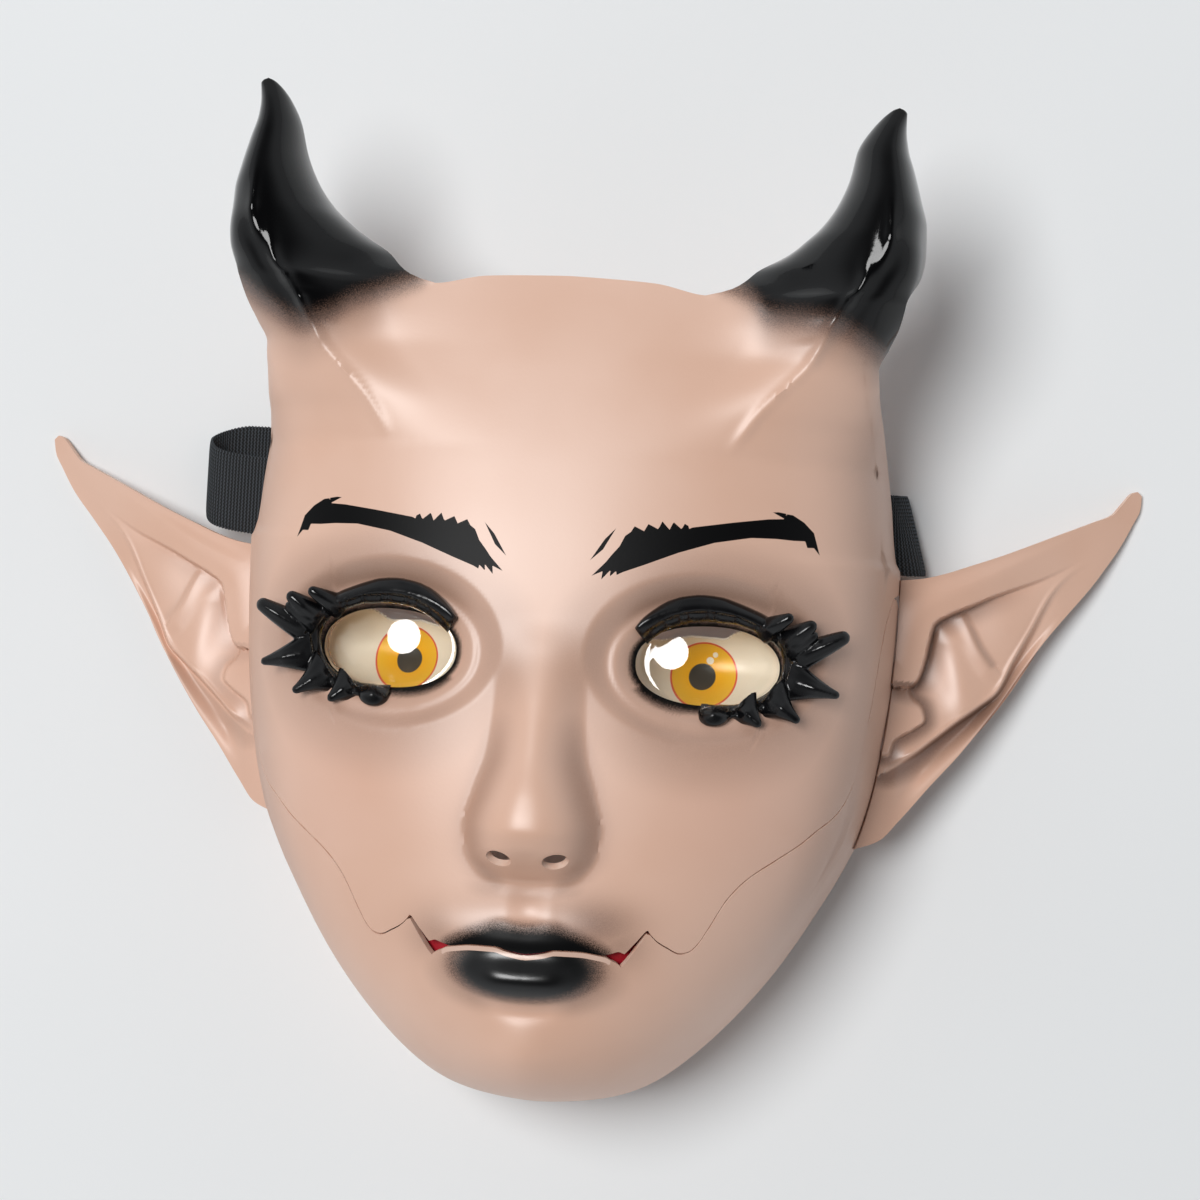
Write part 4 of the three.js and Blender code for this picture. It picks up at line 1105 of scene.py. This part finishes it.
def spikeTube(tip, root, rootR, tipR, power):
    tip = np.array(tip, float)
    root = surfacePoint(*np.array(root, float)) + np.array([0, 0, lash["rootUp"]])
    length = np.linalg.norm(tip - root)
    along = (tip - root) / length
    tip = tip + along * tipR * lash["pastTip"]
    length += tipR * lash["pastTip"]
    u = 1 - (1 - np.linspace(0, 1, lash["rings"])[:, None]) ** 1.6
    bow = lash["bow"] * length * np.array([0, 0, 1.0])
    centre = root + (tip - root) * u + bow * 4 * u * (1 - u)
    sideways = np.cross([0, 0, 1.0], along)
    sideways /= np.linalg.norm(sideways)
    up = np.cross(along, sideways)
    turn = np.linspace(0, 2 * np.pi, lash["spokes"])[None, :]
    cap = min(tipR / length, 0.6)
    inCap = np.clip((u - 1 + cap) / cap, 0, 1)
    size = (tipR + (rootR - tipR) * (1 - u) ** power) * np.sqrt(np.maximum(1 - inCap ** 2, 0))
    keel = 1 + lash["keel"] * bell((turn - np.pi / 2) / 0.3) * smooth(0, 0.2, u) * smooth(1, 0.8, u)
    over = np.minimum(lash["flat"], lash["thickest"] / np.maximum(size, 0.1))
    thick = np.where(np.sin(turn) > 0, over, lash["under"]) * keel
    ring = size[..., None] * (np.cos(turn)[..., None] * sideways + (thick * np.sin(turn))[..., None] * up)
    return gridSheet("spike", centre[:, None, :] + ring)


def closeTube(piece):  # merges the seam and closes both ends
    mergeDoubles(piece, 0.01)
    bpy.ops.object.mode_set(mode="EDIT")
    bpy.ops.mesh.select_all(action="DESELECT")
    bpy.ops.mesh.select_mode(type="EDGE")
    bpy.ops.mesh.select_non_manifold(extend=False, use_wire=False, use_multi_face=False,
                                     use_non_contiguous=False, use_verts=False)
    bpy.ops.mesh.edge_face_add()
    bpy.ops.mesh.select_all(action="SELECT")
    bpy.ops.mesh.normals_make_consistent(inside=False)
    bpy.ops.object.mode_set(mode="OBJECT")


def makeLashes():
    parts = [bandTube()] + [spikeTube(*each) for each in spikes]
    for part in parts:
        closeTube(part)
    piece = joinPieces(parts, "lashes_right")
    applyModifier(piece, "REMESH", mode="VOXEL", voxel_size=lash["voxel"] * mm)
    applyModifier(piece, "SMOOTH", factor=0.5, iterations=2)
    piece.data.materials.append(lashFinish())
    shadeSmooth(piece, 60)
    return piece


def mirrorPiece(piece, name):
    copy = piece.copy()
    copy.data = piece.data.copy()
    copy.name = copy.data.name = name
    bpy.context.scene.collection.objects.link(copy)
    copy.data.transform(Matrix.Scale(-1, 4, (1, 0, 0)))
    copy.data.flip_normals()
    return copy


rightLashes = makeLashes()
leftLashes = mirrorPiece(rightLashes, "lashes_left")
for piece, side in ((rightLashes, "right"), (leftLashes, "left")):
    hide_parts("lash_frame_" + side)
    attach(piece, "mask")
print("lashes:", len(rightLashes.data.polygons), "faces")

# Clear lens and painted dish behind each eye hole
lens = {"x": 47.5, "y": -16.5, "halfX": 26, "halfY": 17, "wall": 1.0, "drop": 4.6, "flange": 0.83,
        "topZ": 86.2, "crownX": 41.0, "crownY": -17.5, "radius": 43.0, "rings": 40, "spokes": 96,
        "tint": (0.98, 0.98, 0.97, 1), "index": 1.55, "roughness": 0.03}
dish = {"gap": 0.9, "wall": 0.8, "floorZ": 62.0, "rings": 90, "spokes": 180, "roughness": 0.35,
        "cream": colour(248, 240, 220), "creamShade": colour(238, 226, 202), "iris": colour(240, 176, 24),
        "irisEdge": colour(243, 190, 48), "ring": colour(222, 88, 62), "pupil": colour(58, 56, 50),
        "ringWidth": 0.45}
dishEdge = curveThrough([
    (20, -10.5), (33, -10.1), (37.4, -9.5), (41.8, -8.7), (47.2, -9), (50.1, -9.1), (53, -7.5),
    (55.8, -5.8), (57.9, -5.4), (64, -5), (74, -5)])
# Each round of paint: the place of its middle and its radius
irisPlace = {"right": (45.1, -20.0, 9.8), "left": (-45.1, -20.0, 9.8)}
pupilPlace = {"right": (44.5, -20.5, 3.9), "left": (-44.5, -20.5, 3.9)}
irisDots = {"right": [(46.5, -15.6, 1.05), (48.0, -13.8, 0.75)], "left": []}


def skirtPoint(r, turn):  # the flange that lies behind the edge of the eye hole
    x = lens["x"] + lens["halfX"] * r * np.cos(turn)
    y = lens["y"] + lens["halfY"] * r * np.sin(turn)
    smoothDome = depthAt(rise(y)) * np.cos(np.radians(angleAt(x, y))) + socket(x, y)
    return np.stack([x, y, smoothDome - lens["drop"]], -1)


def lensPoints(r, turn):  # a dome inside the flange
    points = skirtPoint(r, turn)
    edge = skirtPoint(lens["flange"] + 0 * r, turn)

    def crown(at):
        away2 = (at[..., 0] - lens["crownX"]) ** 2 + (at[..., 1] - lens["crownY"]) ** 2
        return lens["topZ"] - away2 / (2 * lens["radius"])

    share = np.minimum(1, r / lens["flange"])
    bent = crown(points) + (edge[..., 2] - crown(edge)) * share ** 20
    points[..., 2] = np.where(share < 1, bent, points[..., 2])
    return points


def dishPoints(r, turn):  # a hollow that starts behind the lens's flange
    points = skirtPoint(r, turn)
    rim = skirtPoint(1 + 0 * r, turn)[..., 2] - lens["wall"] - dish["gap"]
    points[..., 2] = dish["floorZ"] + (rim - dish["floorZ"]) * r * r
    return points


def roundSheet(name, pointsAt, rings, spokes, side):
    turn = np.linspace(0, 2 * np.pi, spokes + 1)[None, :]
    r = np.linspace(0, 1, rings)[:, None]
    points = pointsAt(r + 0 * turn, turn + 0 * r)
    points = points[:, ::-1] if side > 0 else points * np.array([-1, 1, 1])
    piece = gridSheet(name, points)
    mergeDoubles(piece)
    return piece


def lensFinish():
    finish = Finish("clear_plastic")
    finish.give("Base Color", lens["tint"])
    finish.give("Transmission Weight", 1.0)
    finish.give("IOR", lens["index"])
    finish.give("Roughness", lens["roughness"])
    finish.bump(finish.noise(60.0, 1.0), 0.05, 0.0005)
    return finish.material


def dishFinish(side):
    finish = Finish("painted_eye_" + side)
    x, y = finish.axes()

    def away(cx, cy):
        dx = finish.minus(x, cx)
        dy = finish.minus(y, cy)
        square = finish.math("MULTIPLY_ADD", dx, dx, finish.times(dy, dy))
        return finish.math("SQRT", square)

    def spot(base, d, radius, softEdge, paint):
        return finish.mix(finish.ramp(d, radius + softEdge, radius, soft=False), base, paint)

    base = finish.mix(finish.ramp(finish.noise(30.0, 2.0), 0.3, 0.7), dish["cream"], dish["creamShade"])
    irisX, irisY, irisR = irisPlace[side]
    d = away(irisX, irisY)
    base = spot(base, d, irisR, 0.15, dish["ring"])
    glow = finish.mix(finish.ramp(d, irisR * 0.35, irisR), dish["iris"], dish["irisEdge"])
    base = spot(base, d, irisR - dish["ringWidth"] - 0.1, 0.2, glow)
    pupilX, pupilY, pupilR = pupilPlace[side]
    base = spot(base, away(pupilX, pupilY), pupilR, 0.12, dish["pupil"])
    for dotX, dotY, dotR in irisDots[side]:
        base = spot(base, away(dotX, dotY), dotR, 0.1, dish["cream"])
    finish.give("Base Color", base)
    finish.give("Roughness", dish["roughness"])
    return finish.material


def trimDish(piece):  # the dish is cut off along a wavy line over the iris
    mesh = bmesh.new()
    mesh.from_mesh(piece.data)
    gone = [v for v in mesh.verts if v.co.y / mm - centreY > dishEdge(abs(v.co.x / mm)) + 0.001]
    bmesh.ops.delete(mesh, geom=gone, context="VERTS")
    mesh.to_mesh(piece.data)
    mesh.free()


clear = lensFinish()
for name, side in (("right", 1), ("left", -1)):
    cover = roundSheet("clear_eye_" + name, lensPoints, lens["rings"], lens["spokes"], side)
    cover.data.materials.append(clear)
    addWall(cover, lens["wall"])
    shadeSmooth(cover, 60)
    cover.visible_shadow = False
    cover.visible_diffuse = False
    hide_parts("eye_lens_" + name)
    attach(cover, "mask")
    ball = roundSheet("painted_eye_" + name, dishPoints, dish["rings"], dish["spokes"], side)
    ball.data.materials.append(dishFinish(name))
    trimDish(ball)
    addWall(ball, dish["wall"])
    shadeSmooth(ball)
    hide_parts("eye_dish_" + name)
    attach(ball, "mask")
print("eyes made")

# Elastic strap, looped out at each temple and passing under the mask
strap = {"width": 25.0, "thick": 1.5, "pitch": 1.1, "step": 0.37, "columns": 27, "zigzags": 12.0,
         "zigzag": 0.8, "edgeNotch": 0.45, "ribDepth": 0.22, "lean": 3.6, "leanIn": 1.0, "roughness": 0.8,
         "colour": colour(9, 10, 11), "stitchHighlight": colour(66, 72, 78)}
strapLine = [
    (-92.2, 27, 42), (-92.6, 27, 31), (-95, 27.5, 22.6), (-102, 28, 19.8), (-112, 29, 18.4),
    (-119.5, 31, 15), (-122.2, 34, 8.8), (-119, 37, 2.8), (-111, 39, 0.85), (-60, 38, 0.85),
    (0, 34, 0.85), (60, 30, 0.85), (97, 27.5, 0.9), (104, 27.2, 2.4), (107, 27, 6.5),
    (106.4, 26.7, 12), (102, 26.3, 17), (94.6, 26, 21.4), (92.6, 26, 31), (92.2, 26, 42)]


def webFinish():
    finish = Finish("ribbed_webbing")
    parts = finish.add("ShaderNodeSeparateXYZ")
    finish.links.new(finish.add("ShaderNodeUVMap", uv_map="UVMap").outputs[0], parts.inputs[0])
    across, along = parts.outputs[:2]
    zigzag = finish.math("PINGPONG", finish.times(across, strap["zigzags"]), 0.5)
    wave = finish.math("MULTIPLY_ADD", zigzag, strap["zigzag"], along)
    stitch = finish.math("SINE", finish.times(wave, 2 * np.pi))
    # the crests of the stitches are painted lighter, as painted highlights on the black webbing
    lit = finish.ramp(stitch, -0.2, 1.0)
    finish.give("Base Color", finish.mix(lit, strap["colour"], strap["stitchHighlight"]))
    finish.give("Roughness", strap["roughness"])
    finish.bump(stitch, 0.6, 0.0003)
    return finish.material


def makeStrap():
    path = roundLine(strapLine, strap["step"])
    at = np.linspace(0, lengthsAlong(np.array(strapLine, float))[-1], len(path))
    tangent = np.gradient(path, axis=0)
    tangent /= np.linalg.norm(tangent, axis=1)[:, None]
    across = np.array([0, 1.0, 0])
    normal = np.cross(tangent, across)
    normal /= np.linalg.norm(normal, axis=1)[:, None]
    v = np.linspace(-1, 1, strap["columns"])
    rib = 0.5 + 0.5 * np.cos(2 * np.pi * at / strap["pitch"])
    width = strap["width"] / 2 - strap["edgeNotch"] * (1 - rib)
    middle = path[:, None, :] + v[None, :, None] * width[:, None, None] * across
    half = strap["thick"] / 2 - strap["ribDepth"] * (1 - rib)
    lift = half[:, None] * np.sqrt(1 - 0.75 * v[None, :] ** 8)
    out = smooth(97, 106, path[:, 0])[:, None]  # the right loop leans out below
    middle[..., 0] += out * (-strap["lean"] * v[None, :] - strap["leanIn"])
    upper = middle + lift[..., None] * normal[:, None, :]
    lower = (middle - lift[..., None] * normal[:, None, :])[:, ::-1]
    piece = gridSheet("elastic_strap", np.concatenate([upper, lower, upper[:, :1]], axis=1))
    layer = piece.data.uv_layers[0] if piece.data.uv_layers else piece.data.uv_layers.new(name="UVMap")
    layer.name = "UVMap"
    uv = np.empty(len(piece.data.loops) * 2)
    layer.data.foreach_get("uv", uv)
    uv = uv.reshape(-1, 2)
    uv[:, 0] = np.abs(2 * uv[:, 0] - 1) * strap["width"] / strap["pitch"] / strap["zigzags"]
    uv[:, 1] *= at[-1] / strap["pitch"]
    layer.data.foreach_set("uv", uv.ravel())
    mergeDoubles(piece, 0.002)
    piece.data.materials.append(webFinish())
    return piece


webbing = makeStrap()
closeTube(webbing)
shadeSmooth(webbing, 60)
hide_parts("head_strap")
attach(webbing, "mask")
print("strap made")

# Floor and light
stage = {"floor": colour(238, 240, 241), "floorSize": 6.0, "floorDrop": 0.2, "floorRoughness": 0.7,
         "dimShare": 0.97, "keySeat": (-1.02, 0.63, 3.66), "keyAim": (0, 0, 0.05), "keySize": 1.8,
         "keyPower": 110.0, "fill": (0.94, 0.97, 1.0, 1.0), "zenith": 0.05, "horizon": 0.6,
         "fadeFrom": 0.25, "fadeTo": 0.92}


def addFloor():
    bpy.ops.object.select_all(action="DESELECT")
    bpy.ops.mesh.primitive_plane_add(size=stage["floorSize"], location=(0, 0, -stage["floorDrop"] * mm))
    floor = bpy.context.object
    floor.name = "floor"
    dim = darker(stage["floor"], stage["dimShare"])
    floor.data.materials.append(twoTone("pale_table", 3.0, stage["floor"], dim, stage["floorRoughness"]))


def addKey():
    key = bpy.data.lights.new("key", "AREA")
    key.shape = "DISK"
    key.size = stage["keySize"]
    key.energy = stage["keyPower"]
    lamp = bpy.data.objects.new("key", key)
    lamp.location = stage["keySeat"]
    aim = Vector(stage["keyAim"]) - Vector(stage["keySeat"])
    lamp.rotation_euler = aim.to_track_quat("-Z", "Y").to_euler()
    bpy.context.scene.collection.objects.link(lamp)


def addRoom():  # soft light all round, which fades from the horizon upwards
    world = bpy.data.worlds.new("soft_room")
    world.use_nodes = True
    nodes = world.node_tree.nodes
    links = world.node_tree.links
    sky = nodes["Background"]
    sky.inputs["Color"].default_value = stage["fill"]
    parts = nodes.new("ShaderNodeSeparateXYZ")
    links.new(nodes.new("ShaderNodeTexCoord").outputs["Generated"], parts.inputs[0])
    height = nodes.new("ShaderNodeMapRange")
    height.interpolation_type = "SMOOTHSTEP"
    settings = [stage[name] for name in ("fadeFrom", "fadeTo", "horizon", "zenith")]
    for slot, value in zip(height.inputs[1:], settings):
        slot.default_value = value
    links.new(parts.outputs[2], height.inputs[0])
    links.new(height.outputs[0], sky.inputs["Strength"])
    bpy.context.scene.world = world
    bpy.context.scene.view_settings.view_transform = "Standard"


addFloor()
addKey()
addRoom()
bpy.ops.object.select_all(action="DESELECT")
